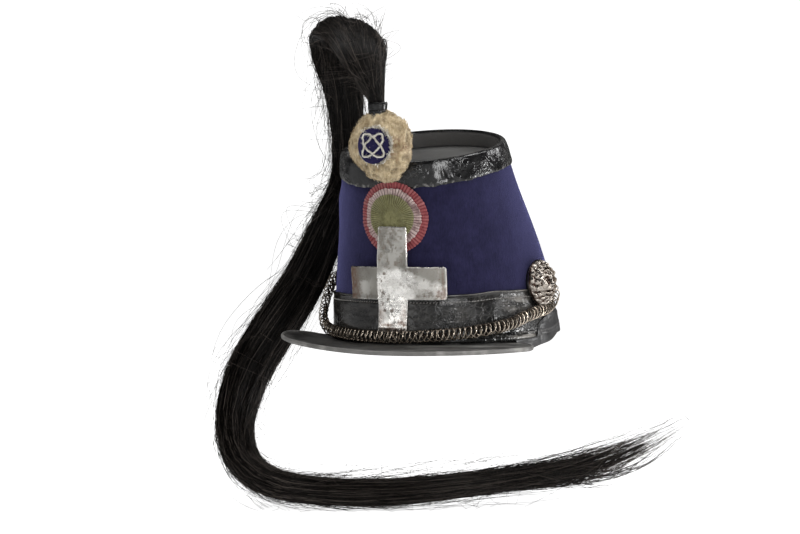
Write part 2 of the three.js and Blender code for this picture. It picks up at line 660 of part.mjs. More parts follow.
// ---- The whole kepi ---------------------------------------------------------------------------------
const kepi = new THREE.Group();
kepi.add(...crown(), headBand(), topBand(), topDisc());
kepi.add(peak(), peakBinding(), neckGuard());
kepi.add(crossPlate(), ...cockade());
kepi.add(pompomBall(), pompomPatch(), pompomBraid(), pompomKnot());
kepi.add(plumeStem(), plumeSocket(), plume());
kepi.add(...bosses(), ...chain());

export default kepi;
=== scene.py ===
# %% [markdown]
# # A cavalry kepi
# This lesson dresses a ready solid model of a kepi: a tapered blue cloth crown, black leather
# bands and peak, a metal cross over a pleated cockade, a wool pompom, a long fall of black
# horsehair and a chin chain between two lion bosses. The solid model is the fixed frame. It says
# where every piece sits and how large it is, and each cell below makes one piece as a fine mesh
# in the same place, then gives it a finish made of shader nodes.

# %% Load the fixed frame
import math

import bpy
import numpy as np
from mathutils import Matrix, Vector


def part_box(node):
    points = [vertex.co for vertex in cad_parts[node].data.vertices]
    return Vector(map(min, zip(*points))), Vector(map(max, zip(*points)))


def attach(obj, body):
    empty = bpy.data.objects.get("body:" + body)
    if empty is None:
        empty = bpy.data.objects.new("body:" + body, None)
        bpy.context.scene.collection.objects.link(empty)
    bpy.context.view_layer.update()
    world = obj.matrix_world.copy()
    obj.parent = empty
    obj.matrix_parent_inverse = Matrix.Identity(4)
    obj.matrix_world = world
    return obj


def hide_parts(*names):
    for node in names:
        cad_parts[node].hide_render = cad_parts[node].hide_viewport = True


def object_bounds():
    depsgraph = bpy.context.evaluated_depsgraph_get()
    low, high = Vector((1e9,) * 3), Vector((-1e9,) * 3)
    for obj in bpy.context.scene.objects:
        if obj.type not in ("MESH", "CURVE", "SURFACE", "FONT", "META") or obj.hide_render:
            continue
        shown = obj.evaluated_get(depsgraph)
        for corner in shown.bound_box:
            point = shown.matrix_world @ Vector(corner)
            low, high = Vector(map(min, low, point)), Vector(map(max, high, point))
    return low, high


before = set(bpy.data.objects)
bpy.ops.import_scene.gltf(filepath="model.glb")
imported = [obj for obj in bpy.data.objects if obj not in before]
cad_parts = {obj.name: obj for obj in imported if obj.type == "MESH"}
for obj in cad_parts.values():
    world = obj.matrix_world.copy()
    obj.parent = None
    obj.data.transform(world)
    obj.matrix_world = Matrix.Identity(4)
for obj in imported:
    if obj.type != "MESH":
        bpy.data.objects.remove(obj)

cad_box = [list(corner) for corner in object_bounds()]
print("frame nodes:", len(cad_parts), "box in metres:", cad_box)

# %% [markdown]
# ## The camera
# A long lens from two metres away keeps the oval crown from bulging. The camera stands a little
# to the wearer's left of the front, barely above the brim, and looks level across the kepi.

# %% Camera
MM = 0.001
AIM = Vector((-30, -19, 54)) * MM
AZIMUTH, ELEVATION, DISTANCE = math.radians(23), math.radians(2), 2.0


def placed(name, data):
    """A new object of the scene."""
    made = bpy.data.objects.new(name, data)
    bpy.context.scene.collection.objects.link(made)
    return made


camera_data = bpy.data.cameras.new("studio_camera")
camera_data.lens, camera_data.sensor_width = 115, 36
camera = placed("studio_camera", camera_data)
towards = Vector((
    math.sin(AZIMUTH) * math.cos(ELEVATION),
    -math.cos(AZIMUTH) * math.cos(ELEVATION),
    math.sin(ELEVATION),
))
camera.location = AIM + towards * DISTANCE
camera.rotation_euler = (-towards).to_track_quat("-Z", "Y").to_euler()
bpy.context.scene.camera = camera
print("camera at", [round(v, 3) for v in camera.location])

# %% [markdown]
# ## The studio
# Polished leather and metal show what stands round them, so the lamps are placed for their
# reflections. A table gives each lamp its bearing from the front and its height angle in degrees,
# its distance, width and height in metres, and its power in watts. A large dim lamp gives metal a
# soft grey shine, and a small bright one gives it a streak. Two large lamps are there for the cloth
# and are hidden from reflections, because they would wash out the black leather.

# %% Lamps
LAMPS = [
    # name, bearing, height angle, distance, width, height, power
    ("key_lamp", -16, -1, 1.7, 1.6, 0.3, 2.5),
    ("front_lamp", -20, 48, 1.6, 1.2, 0.8, 6.0),
    ("left_panel", -74, -1, 1.7, 1.4, 0.3, 0.4),
    ("right_panel", 31, -1, 1.7, 1.0, 0.3, 0.5),
    ("side_lamp", 78, 34, 1.5, 0.4, 0.4, 3.4),
    ("strip_lamp", 51, 9, 0.72, 0.07, 0.4, 1.15),
    ("rim_lamp", 115, -3, 1.5, 0.5, 0.14, 5.0),
    ("roll_lamp", 114, 50, 1.3, 0.35, 0.35, 4.0),
    ("back_lamp", 141, 22, 1.5, 0.3, 0.5, 3.4),
    ("left_lamp", -122, 12, 1.6, 1.0, 1.0, 4.5),
    ("top_lamp", -40, 74, 1.5, 0.9, 0.9, 10),
]
DIFFUSE_LAMPS = ("front_lamp", "left_lamp")


def lamp(name, bearing, height_angle, distance, width, height, power):
    bearing, height_angle = math.radians(bearing), math.radians(height_angle)
    level = math.cos(height_angle)
    away = Vector((math.sin(bearing) * level, -math.cos(bearing) * level, math.sin(height_angle)))
    data = bpy.data.lights.new(name, "AREA")
    data.shape, data.energy = "RECTANGLE", power
    data.size, data.size_y = width, height
    made = placed(name, data)
    made.location = AIM + away * distance
    made.rotation_euler = (-away).to_track_quat("-Z", "Y").to_euler()
    made.visible_glossy = name not in DIFFUSE_LAMPS


for row in LAMPS:
    lamp(*row)
print(len(LAMPS), "lamps, hidden from reflections:", DIFFUSE_LAMPS)

# %% [markdown]
# The floor lies just under the plume's lowest run, and only a few stray hairs dip through it. It
# glows like paper lit from below, more with distance, so it meets the white backdrop without a
# line. Only the camera sees that glow and the bright backdrop in full. Everything else sees them
# dimmed, which keeps black leather black.

# %% Floor and backdrop
FLOOR_GAP, FLOOR_HALF = 0.004, 9
floor_level = cad_box[0][2] - FLOOR_GAP
floor_mesh = bpy.data.meshes.new("studio_floor")
around = ((-1, -1), (1, -1), (1, 1), (-1, 1))
floor_corners = [(x * FLOOR_HALF, y * FLOOR_HALF, floor_level) for x, y in around]
floor_mesh.from_pydata(floor_corners, [], [(0, 1, 2, 3)])
floor = placed("studio_floor", floor_mesh)
floor_paint = bpy.data.materials.new("studio_floor_paint")
floor_paint.use_nodes = True
paint = floor_paint.node_tree
floor_shader = paint.nodes["Principled BSDF"]
floor_shader.inputs["Base Color"].default_value = (0.9, 0.9, 0.9, 1)
floor_shader.inputs["Roughness"].default_value = 0.9
floor_shader.inputs["Emission Strength"].default_value = 1.0
where = paint.nodes.new("ShaderNodeNewGeometry")
distance = paint.nodes.new("ShaderNodeVectorMath")
distance.operation = "LENGTH"
paint.links.new(where.outputs["Position"], distance.inputs[0])
glow = paint.nodes.new("ShaderNodeMapRange")
glow.interpolation_type = "SMOOTHSTEP"
for label, value in (("From Min", 0.1), ("From Max", 0.9), ("To Min", 0.85), ("To Max", 1.0)):
    glow.inputs[label].default_value = value
paint.links.new(distance.outputs["Value"], glow.inputs["Value"])
to_camera = paint.nodes.new("ShaderNodeLightPath")
dimmed = paint.nodes.new("ShaderNodeMapRange")
dimmed.inputs["To Min"].default_value = 0.1
shine = paint.nodes.new("ShaderNodeMath")
shine.operation = "MULTIPLY"
paint.links.new(to_camera.outputs["Is Camera Ray"], dimmed.inputs["Value"])
paint.links.new(glow.outputs["Result"], shine.inputs[0])
paint.links.new(dimmed.outputs["Result"], shine.inputs[1])
paint.links.new(shine.outputs["Value"], floor_shader.inputs["Emission Color"])
floor_mesh.materials.append(floor_paint)

world = bpy.data.worlds.new("studio_world")
bpy.context.scene.world = world
world.use_nodes = True
sky = world.node_tree
backdrop = sky.nodes["Background"]
backdrop.inputs["Color"].default_value = (1, 1, 1, 1)
seen = sky.nodes.new("ShaderNodeLightPath")
brightness = sky.nodes.new("ShaderNodeMix")
brightness.inputs["A"].default_value, brightness.inputs["B"].default_value = 0.06, 1.2
sky.links.new(seen.outputs["Is Camera Ray"], brightness.inputs["Factor"])
sky.links.new(brightness.outputs["Result"], backdrop.inputs["Strength"])
bpy.context.scene.view_settings.view_transform = "Standard"
print("floor at", round(floor_level, 4), "m")

# %% [markdown]
# ## Tools for meshes
# Nearly every piece is a grid of points, so a few helpers carry the lesson. `lumps` is smooth
# seeded noise, which dents leather and ruffles wool the same way on every run. It blends the
# eight nearest numbers of a block of random ones, which repeats every 32 lumps.

# %% Helpers: noise
LATTICE_SIDE = 32
LATTICE = np.random.RandomState(11).rand(LATTICE_SIDE, LATTICE_SIDE, LATTICE_SIDE) * 2 - 1


def lumps(points, size, seed=0):
    """Smooth noise from -1 to 1, its lumps about size millimetres across."""
    place = np.asarray(points, float) / size + seed * np.array([7.13, 3.71, 11.9])
    cell = np.floor(place).astype(int)
    part = place - cell
    part = part * part * (3 - 2 * part)
    total = 0
    for corner in range(8):
        step = np.array([corner & 1, corner >> 1 & 1, corner >> 2 & 1])
        weight = np.where(step, part, 1 - part).prod(axis=-1)
        at = (cell + step) % LATTICE_SIDE
        total = total + weight * LATTICE[at[..., 0], at[..., 1], at[..., 2]]
    return total


print("noise lattice", LATTICE.shape)

# %% [markdown]
# `smoothstep`, `blob` and `read` shape everything that swells, fades or is worn: a soft step, a
# soft bump and a short table. `turns` gives the angles of a round section, and `hermite` the
# smooth curve between two knots.

# %% Helpers: soft shapes and tables


def smoothstep(value, low, high):
    """From 0 at low to 1 at high, level at both ends."""
    part = np.clip((value - low) / (high - low), 0, 1)
    return part * part * (3 - 2 * part)


def blob(x, z, at_x, at_z, wide, tall):
    """A soft bump of height 1 in a flat drawing."""
    return np.exp(-((x - at_x) / wide) ** 2 - ((z - at_z) / tall) ** 2)


def read(table, at):
    """A table of (place, value) rows read at these places, straight between its rows."""
    table = np.asarray(table, float)
    return np.interp(at, table[:, 0], table[:, 1])


def turns(count):
    """The angles of count equal steps round a circle."""
    return np.arange(count) * 2 * np.pi / count


def xyz(*parts):
    """Arrays of matching shapes stacked along a last axis: coordinates, or the corners of faces."""
    return np.stack(np.broadcast_arrays(*parts), axis=-1)


def unit(vectors):
    """The same directions, with length 1."""
    return vectors / (np.linalg.norm(vectors, axis=-1, keepdims=True) + 1e-9)


def hermite(t, start, leaving, end, arriving):
    """A curve from start to end that leaves and arrives at these slopes, as t goes from 0 to 1."""
    return ((2 * t ** 3 - 3 * t ** 2 + 1) * start + (t ** 3 - 2 * t ** 2 + t) * leaving
            + (3 * t ** 2 - 2 * t ** 3) * end + (t ** 3 - t ** 2) * arriving)


print("a soft step half way up:", smoothstep(0.5, 0, 1))

# %% [markdown]
# `grid` joins rows and columns of points into four-sided faces. `tube_faces` closes a round grid
# at both ends, and `shell` joins two matching sheets round their edges, so that every piece is a
# closed skin. `make` turns points and faces into an object that rides on the frame. Sizes are in
# millimetres up to that last step.

# %% Helpers: faces


def grid(rows, columns, rows_close=False, columns_close=False):
    """Four-sided faces between the points of a grid, counted row by row."""
    row = np.arange(rows if rows_close else rows - 1)[:, None]
    column = np.arange(columns if columns_close else columns - 1)[None, :]
    below, beside = (row + 1) % rows, (column + 1) % columns
    faces = np.stack([row * columns + column, row * columns + beside,
                      below * columns + beside, below * columns + column], axis=-1)
    return faces.reshape(-1, 4)


def tube_faces(rows, columns):
    """Face blocks of a tube of points: its wall, and one flat face at each end."""
    cap = np.arange(columns)
    return [grid(rows, columns, columns_close=True),
            np.stack([cap[::-1], cap + (rows - 1) * columns])]


def shell(front, back):
    """Two matching sheets of points, (rows, deep, 3), joined round their edges."""
    rows, deep = front.shape[:2]
    columns = 2 * deep
    ends = []
    for row in (0, rows - 1):
        near = row * columns + np.arange(deep)
        far = row * columns + np.arange(columns - 1, deep - 1, -1)
        strip = xyz(near[:-1], near[1:], far[1:], far[:-1])
        ends.append(strip if row == 0 else strip[:, ::-1])
    points = np.concatenate([front, back[:, ::-1]], axis=1).reshape(-1, 3)
    return points, [np.concatenate([grid(rows, columns, columns_close=True), *ends])]


def tubes(paths, radii, sides):
    """Closed tubes along many paths at once. paths is (tubes, steps, 3), radii (tubes, steps)."""
    count, steps = paths.shape[:2]
    along = unit(np.gradient(paths, axis=1))
    helper = np.where(np.abs(along[:, :1, 2:]) < 0.9, [[[0, 0, 1.0]]], [[[1.0, 0, 0]]])
    side = unit(np.cross(along, np.broadcast_to(helper, along.shape)))
    up = np.cross(side, along)
    angle = turns(sides)
    ring = (np.cos(angle)[:, None] * side[:, :, None] + np.sin(angle)[:, None] * up[:, :, None])
    points = paths[:, :, None] + ring * radii[:, :, None, None]
    shift = (np.arange(count) * steps * sides)[:, None, None]
    blocks = [(block[None] + shift).reshape(-1, block.shape[1]) for block in tube_faces(steps, sides)]
    return points.reshape(-1, 3), blocks


def merged(parts):
    """Several (points, face blocks) as one."""
    points, blocks, start = [], {}, 0
    for some_points, some_faces in parts:
        for block in some_faces:
            blocks.setdefault(block.shape[1], []).append(block + start)
        points.append(some_points)
        start += len(some_points)
    return np.concatenate(points), [np.concatenate(b) for b in blocks.values()]


print("a tube of 3 rings of 4 points:", [len(block) for block in tube_faces(3, 4)], "faces")

# %% Helpers: objects


def volume(points, faces):
    """Signed volume of a closed mesh; below zero when its faces point inwards."""
    total = 0
    for block in faces:
        first = points[block[:, 0]]
        for k in range(1, block.shape[1] - 1):
            turned = np.cross(points[block[:, k]], points[block[:, k + 1]])
            total += np.einsum("ij,ij->", first, turned)
    return total / 6


def make(name, points, faces, finish, node=None, sharp=50, **marks):
    """An object of points (mm) and face blocks. marks are numbers stored on the points."""
    points = np.asarray(points, float).reshape(-1, 3)
    faces = [np.asarray(block, int) for block in (faces if isinstance(faces, list) else [faces])]
    if volume(points, faces) < 0:
        faces = [block[:, ::-1] for block in faces]
    mesh = bpy.data.meshes.new(name)
    mesh.vertices.add(len(points))
    mesh.vertices.foreach_set("co", (points * MM).astype(np.float32).ravel())
    corners = np.concatenate([block.ravel() for block in faces])
    sizes = np.concatenate([np.full(len(block), block.shape[1]) for block in faces])
    mesh.loops.add(len(corners))
    mesh.loops.foreach_set("vertex_index", corners.astype(np.int32))
    mesh.polygons.add(len(sizes))
    starts = np.concatenate([[0], np.cumsum(sizes)[:-1]])
    mesh.polygons.foreach_set("loop_start", starts.astype(np.int32))
    mesh.update(calc_edges=True)
    mesh.validate()
    for mark, values in marks.items():
        layer = mesh.attributes.new(mark, "FLOAT", "POINT")
        layer.data.foreach_set("value", np.asarray(values, np.float32).ravel())
    mesh.polygons.foreach_set("use_smooth", np.ones(len(sizes), bool))
    mesh.set_sharp_from_angle(angle=math.radians(sharp))
    mesh.materials.append(finish)
    piece = placed(name, mesh)
    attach(piece, "root")
    if node:
        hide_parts(*([node] if isinstance(node, str) else node))
    triangles = int((sizes - 2).sum())
    print(f"{name}: {triangles} triangles")
    return piece


print("a millimetre is", MM, "of the scene's units")

# %% [markdown]
# ## The shape that everything wraps round
# The crown is an oval that stands upright inside the head band and then leans and narrows to a rim that
# dips to the front. `wall` gives a point on it from a bearing (minus 90 degrees is the front), a height,
# and a distance out from the cloth. The oval's sizes at the foot are read from the box of the solid crown,
# and the band's height from the solid head band, so the fine pieces lie where the solid ones do. Its sizes
# at the top are given as numbers.

# %% The crown's surface
crown_low, crown_high = (np.array(corner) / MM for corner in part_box("crown"))
FOOT_WIDE, FOOT_LONG = crown_high[0], crown_high[1]
BAND_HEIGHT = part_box("head_band")[1][2] / MM
TOP_WIDE, TOP_LONG = 60.5, 66.0
TOP_MIDDLE = crown_low[1] + TOP_LONG
RIM_HEIGHT, RIM_PER_X, RIM_PER_Y = 147.9, -0.008, 0.2
FRONT = -math.pi / 2


def rim_height(bearing):
    return (RIM_HEIGHT + RIM_PER_X * TOP_WIDE * np.cos(bearing)
            + RIM_PER_Y * TOP_LONG * np.sin(bearing))


def wall(bearing, height, out):
    """Points on the crown, out millimetres away from the cloth. Works on whole arrays."""
    values = (np.asarray(value, float) for value in (bearing, height, out))
    bearing, height, out = np.broadcast_arrays(*values)
    share = np.maximum((height - BAND_HEIGHT) / (rim_height(bearing) - BAND_HEIGHT), 0)
    wide = FOOT_WIDE + (TOP_WIDE - FOOT_WIDE) * share
    long = FOOT_LONG + (TOP_LONG - FOOT_LONG) * share
    facing = unit(xyz(np.cos(bearing) / wide, np.sin(bearing) / long))
    return xyz(
        wide * np.cos(bearing) + facing[..., 0] * out,
        TOP_MIDDLE * share + long * np.sin(bearing) + facing[..., 1] * out,
        height,
    )


def rounded(profile, radius=0.4, step=1.5, plain=()):
    """A closed profile, its corners eased and its long sides divided, but for the plain ones."""
    profile = np.asarray(profile, float)
    corners = []
    for i, here in enumerate(profile):
        ease = []
        for there in (profile[i - 1], profile[(i + 1) % len(profile)]):
            reach = np.linalg.norm(there - here)
            ease.append(min(radius, 0.45 * reach) / reach * (there - here))
        corners += [here + ease[0], here + (ease[0] + ease[1]) * 0.25, here + ease[1]]
    dense = []
    for i, here in enumerate(corners):
        there = corners[(i + 1) % len(corners)]
        count = max(1, round(float(np.linalg.norm(there - here)) / step))
        if i % 3 == 2 and i // 3 in plain:
            count = 1
        dense += [here + (there - here) * k / count for k in range(count)]
    return np.array(dense)


def round_wall(profile, around):
    """The bearing, distance out and level of each point of a profile taken round the wall."""
    bearing = np.linspace(-np.pi, np.pi, around, endpoint=False)[None, :]
    return np.broadcast_arrays(bearing, profile[:, :1], profile[:, 1:])


def wrapped(profile, height_at, around, shape):
    """A profile of (out, level) taken all the way round the wall, as points and faces."""
    bearing, out, level = round_wall(profile, around)
    out, height = shape(bearing, height_at(bearing, level), out, level)
    points = wall(bearing, height, out)
    return points.reshape(-1, 3), grid(len(profile), around, True, True)


def above_foot(bearing, level):
    """Levels that count from the foot of the kepi, as on the head band."""
    return level


def from_rim(bearing, level):
    """Levels that count from the slanting rim, as on the top band."""
    return rim_height(bearing) + level


def stretched(bearing, level):
    """Levels that stretch from the head band to the slanting rim, as on the cloth."""
    share = (level - BAND_HEIGHT) / (RIM_HEIGHT - BAND_HEIGHT)
    upper = BAND_HEIGHT + share * (rim_height(bearing) - BAND_HEIGHT)
    return np.where(level <= BAND_HEIGHT, level, upper)


print("foot oval", FOOT_WIDE.round(1), FOOT_LONG.round(1), "top middle", TOP_MIDDLE.round(1))

# %% [markdown]
# ## Shared effects as node groups
# An effect that several finishes need is built once as a group with named sockets. Each group
# puts out a value that changes over the surface, and each material feeds it into colour,
# roughness or bump with its own strength. Everything is measured in object space, in metres, so
# grain has the same size on every piece.

# %% Helpers: nodes


class Nodes:
    """Short calls for adding nodes to a tree."""

    def __init__(self, tree):
        self.tree = tree

    def add(self, kind, values=None, **settings):
        node = self.tree.nodes.new(kind)
        for key, value in settings.items():
            setattr(node, key, value)
        for key, value in (values or {}).items():
            self.put(value, node.inputs[key])
        return node

    def put(self, value, socket):
        if isinstance(value, bpy.types.NodeSocket):
            self.tree.links.new(value, socket)
        else:
            socket.default_value = value

    def maths(self, operation, a, b=0.5, c=0.5):
        node = self.add("ShaderNodeMath", operation=operation)
        for value, socket in zip((a, b, c), node.inputs):
            self.put(value, socket)
        return node.outputs[0]

    def times(self, a, b):
        return self.maths("MULTIPLY", a, b)

    def plus(self, a, b):
        return self.maths("ADD", a, b)

    def ramp(self, value, low, high, to_low=0.0, to_high=1.0):
        node = self.add("ShaderNodeMapRange", {
            "Value": value, "From Min": low, "From Max": high, "To Min": to_low, "To Max": to_high})
        return node.outputs["Result"]

    def blend(self, share, a, b):
        node = self.add("ShaderNodeMix", data_type="RGBA")
        for value, socket in ((share, node.inputs[0]), (a, node.inputs[6]), (b, node.inputs[7])):
            self.put(value, socket)
        return node.outputs[2]


def new_group(name, inputs, outputs):
    """A shader group with float inputs (name: default) and float outputs."""
    tree = bpy.data.node_groups.new(name, "ShaderNodeTree")
    for label, value in inputs.items():
        socket = tree.interface.new_socket(label, in_out="INPUT", socket_type="NodeSocketFloat")
        socket.default_value = value
    for label in outputs:
        tree.interface.new_socket(label, in_out="OUTPUT", socket_type="NodeSocketFloat")
    nodes = Nodes(tree)
    source, result = nodes.add("NodeGroupInput"), nodes.add("NodeGroupOutput")
    return nodes, source.outputs, result.inputs


def noise_at(nodes, where, scale, detail=3.0, roughness=0.55):
    node = nodes.add("ShaderNodeTexNoise", {
        "Vector": where, "Scale": scale, "Detail": detail, "Roughness": roughness})
    return node.outputs["Fac"]


print("node helpers ready")

# %% [markdown]
# Felt is cloth milled until its fibres mat: fine noise for the fuzz, noise drawn out upwards for
# the threads under it, and slow noise for the mottling of old dye.

# %% Group: felt, the milled face of wool cloth
nodes, given, result = new_group("milled felt", {"Fibres": 1800.0, "Mottle": 90.0}, ["Height", "Tint"])
place = nodes.add("ShaderNodeTexCoord").outputs["Object"]
fuzz = noise_at(nodes, place, given["Fibres"], 2.0, 0.7)
drawn = nodes.add("ShaderNodeMapping", {"Vector": place, "Scale": (1.0, 1.0, 0.35)}).outputs[0]
thread = noise_at(nodes, drawn, nodes.times(given["Fibres"], 0.45), 3.0, 0.6)
mottle = noise_at(nodes, place, given["Mottle"], 4.0, 0.6)
nodes.put(nodes.plus(nodes.times(fuzz, 0.5), nodes.times(thread, 0.5)), result["Height"])
tint = nodes.plus(nodes.times(mottle, 0.55), nodes.times(thread, 0.45))
nodes.put(nodes.ramp(tint, 0.36, 0.64), result["Tint"])
FELT = nodes.tree
print("group", FELT.name)

# %% [markdown]
# Old patent leather crazes into cells, creases between them and dulls in blotches. The cells are a
# Voronoi pattern whose place is bent by noise, so that no crack is straight, and the creases are
# noise at the same scale. Pinch is a net of sharp folds where noise crosses its middle value.

# %% Group: old leather, creased and crazed
nodes, given, result = new_group(
    "old leather", {"Creases": 160.0, "Grain": 1500.0, "Blotches": 45.0},
    ["Height", "Crack", "Blotch", "Pinch"])
place = nodes.add("ShaderNodeTexCoord").outputs["Object"]
wander = nodes.add("ShaderNodeTexNoise", {"Vector": place, "Scale": 120.0, "Detail": 3.0})
bend = nodes.add("ShaderNodeVectorMath", operation="MULTIPLY_ADD")
for value, socket in zip((wander.outputs["Color"], (0.006, 0.006, 0.006), place), bend.inputs):
    nodes.put(value, socket)
bent = bend.outputs[0]
cells = nodes.add("ShaderNodeTexVoronoi", {"Vector": bent, "Scale": given["Creases"]},
                  feature="DISTANCE_TO_EDGE")
crack = nodes.ramp(cells.outputs["Distance"], 0.0, 0.09, 1.0, 0.0)
patch = nodes.ramp(noise_at(nodes, place, nodes.times(given["Creases"], 0.22), 2.0), 0.45, 0.62)
crack = nodes.times(crack, patch)
grain = noise_at(nodes, place, given["Grain"], 3.0, 0.65)
folds = noise_at(nodes, bent, nodes.times(given["Creases"], 0.9), 2.0, 0.45)
crumple = nodes.times(folds, nodes.maths("MULTIPLY_ADD", patch, 1.0, 0.25))
height = nodes.plus(nodes.times(grain, 0.02), crumple)
nodes.put(nodes.maths("SUBTRACT", height, nodes.times(crack, 0.2)), result["Height"])
nodes.put(crack, result["Crack"])
wrinkle = noise_at(nodes, bent, nodes.times(given["Creases"], 2.6), 3.0, 0.6)
from_line = nodes.maths("ABSOLUTE", nodes.maths("SUBTRACT", wrinkle, 0.5))
nodes.put(nodes.ramp(from_line, 0.0, 0.11, 1.0, 0.0), result["Pinch"])
nodes.put(nodes.ramp(noise_at(nodes, place, given["Blotches"], 5.0, 0.65), 0.4, 0.66), result["Blotch"])
LEATHER = nodes.tree
print("group", LEATHER.name)

# %% [markdown]
# Noise squeezed to long streaks crosses its middle value along thin straight lines: scratches.
# Two directions cross, and slow noise keeps them to a few places.

# %% Group: scratches, thin straight marks in two directions
nodes, given, result = new_group("scratches", {"Count": 90.0, "Amount": 0.5}, ["Mark"])
place = nodes.add("ShaderNodeTexCoord").outputs["Object"]
marks = []
for turn, stretch in ((0.5, (14.0, 14.0, 1.0)), (-0.9, (1.0, 1.0, 16.0))):
    turned = nodes.add("ShaderNodeMapping", {
        "Vector": place, "Rotation": (turn, turn * 0.6, turn), "Scale": stretch}).outputs[0]
    fine = noise_at(nodes, turned, given["Count"], 2.0, 0.6)
    where = nodes.ramp(noise_at(nodes, place, 60.0, 2.0), 0.5, 0.6)
    from_line = nodes.maths("ABSOLUTE", nodes.maths("SUBTRACT", fine, 0.5))
    marks.append(nodes.times(nodes.ramp(from_line, 0.0, 0.018, 1.0, 0.0), where))
nodes.put(nodes.times(nodes.maths("MAXIMUM", *marks), given["Amount"]), result["Mark"])
SCRATCH = nodes.tree
print("group", SCRATCH.name)

# %% [markdown]
# Tarnish spreads in clouds. It breaks into specks, which only show in and beside a cloud.

# %% Group: tarnish, cloudy patches with speckled rims
nodes, given, result = new_group("tarnish", {"Clouds": 70.0, "Specks": 900.0}, ["Cloud", "Speck"])
place = nodes.add("ShaderNodeTexCoord").outputs["Object"]
cloud = noise_at(nodes, place, given["Clouds"], 6.0, 0.7)
nodes.put(nodes.ramp(cloud, 0.44, 0.6), result["Cloud"])
speck = nodes.ramp(noise_at(nodes, place, given["Specks"], 3.0, 0.7), 0.56, 0.66)
nodes.put(nodes.times(speck, nodes.ramp(cloud, 0.4, 0.56)), result["Speck"])
TARNISH = nodes.tree
print("group", TARNISH.name)

# %% [markdown]
# ## Finishes
# A finish is a material: one Principled shader whose fixed numbers are typed on its sockets,
# and whose changing colour, roughness and bump come from the groups above. `mark` reads a number
# that the mesh code stored on the points, such as how deep in a recess a point lies.

# %% Helpers: finishes


def new_finish(name, **fixed):
    """A material with fixed numbers on its shader's own sockets."""
    material = bpy.data.materials.new(name)
    material.use_nodes = True
    nodes = Nodes(material.node_tree)
    shader = material.node_tree.nodes["Principled BSDF"]
    for label, value in fixed.items():
        shader.inputs[label.replace("_", " ")].default_value = value
    return material, nodes, shader


def effect(nodes, group, **values):
    """One of the shared groups, placed with its own values."""
    node = nodes.add("ShaderNodeGroup", node_tree=group)
    for label, value in values.items():
        nodes.put(value, node.inputs[label])
    return node.outputs


def mark(nodes, name):
    return nodes.add("ShaderNodeAttribute", attribute_name=name).outputs["Fac"]


def bump(nodes, shader, height, distance, strength=1.0):
    node = nodes.add("ShaderNodeBump", {"Height": height, "Distance": distance, "Strength": strength})
    nodes.put(node.outputs["Normal"], shader.inputs["Normal"])


print("finish helpers ready")

# %% [markdown]
# The cloth is dark blue wool. Felt mixes a deep and a lighter blue, and a sheen, the glow of fibre
# ends seen edge on, pales its sides. The patch on the pompom is the same cloth, finer and brighter.

# %% Finish: cloth


def cloth_finish(name, deep, light, fibres):
    material, nodes, shader = new_finish(
        name, Roughness=0.95, Sheen_Weight=0.45, Sheen_Roughness=0.45, Specular_IOR_Level=0.12)
    shader.inputs["Sheen Tint"].default_value = (0.35, 0.35, 0.85, 1)
    felt = effect(nodes, FELT, Fibres=fibres, Mottle=90.0)
    nodes.put(nodes.blend(felt["Tint"], (*deep, 1), (*light, 1)), shader.inputs["Base Color"])
    bump(nodes, shader, felt["Height"], 0.0006, 0.8)
    return material


crown_cloth = cloth_finish("crown_cloth", (0.0115, 0.0107, 0.0315), (0.021, 0.0195, 0.0555), 1800.0)
patch_cloth = cloth_finish("patch_cloth", (0.013, 0.01, 0.042), (0.024, 0.02, 0.07), 2600.0)
print("cloth finishes:", crown_cloth.name, patch_cloth.name)

# %% [markdown]
# Patent leather is black lacquer over leather: a low roughness gives its hard reflections, and the lacquer
# is rubbed through to grey where it is worn, blotched or cracked. The same grey, carried by the wear mark,
# also paints highlights and light on several pieces. The bands are glossy, the peak and the neck guard
# rougher, and the dusty top is nearly matt.

# %% Finish: leather


def leather_finish(name, black, scuff_and_sheen, gloss, creases, blotches=45.0, depth=0.0008, scuffs=0.35,
                   shine=0.5):
    """gloss is the roughness where it is clean, and scuffs how grey the blotches are."""
    material, nodes, shader = new_finish(name, Specular_IOR_Level=shine)
    old = effect(nodes, LEATHER, Creases=creases, Blotches=blotches)
    # the wear mark brings real wear, and on several pieces painted highlights and painted light as well
    worn = nodes.plus(nodes.times(old["Blotch"], scuffs), nodes.times(mark(nodes, "wear"), 0.8))
    worn = nodes.plus(worn, nodes.times(old["Crack"], 0.12))
    nodes.put(nodes.blend(worn, (*black, 1), (*scuff_and_sheen, 1)), shader.inputs["Base Color"])
    nodes.put(nodes.maths("MULTIPLY_ADD", old["Blotch"], 0.1, gloss), shader.inputs["Roughness"])
    pinched = nodes.times(old["Pinch"], nodes.times(mark(nodes, "crumple"), 0.5))
    bump(nodes, shader, nodes.plus(old["Height"], pinched), depth)
    return material


# the band's pale grey also paints its highlights
band_leather = leather_finish(
    "band_leather", (0.005, 0.005, 0.0052), (0.26, 0.245, 0.225), 0.1, 170.0, 90.0, 0.0006, 0.045)
top_band_leather = leather_finish(
    "top_band_leather", (0.005, 0.005, 0.0055), (0.16, 0.155, 0.15), 0.13, 240.0, 60.0, 0.0006, 0.04)
top_leather = leather_finish(
    "top_leather", (0.1, 0.099, 0.096), (0.19, 0.187, 0.18), 0.5, 60.0, 20.0, 0.0004, 0.5)
# the peak's pale grey also paints its highlight streaks
peak_leather = leather_finish(
    "peak_leather", (0.014, 0.0135, 0.0132), (0.38, 0.37, 0.35), 0.42, 80.0, 40.0, 0.0007, 0.14)
guard_leather = leather_finish(
    "guard_leather", (0.024, 0.024, 0.025), (0.16, 0.155, 0.15), 0.34, 120.0, 60.0, 0.0006, 0.16)
socket_leather = leather_finish(
    "socket_leather", (0.005, 0.005, 0.005), (0.015, 0.015, 0.015), 0.14, 150.0, shine=0.35)
print("leather finishes:", band_leather.name, "to", socket_leather.name)
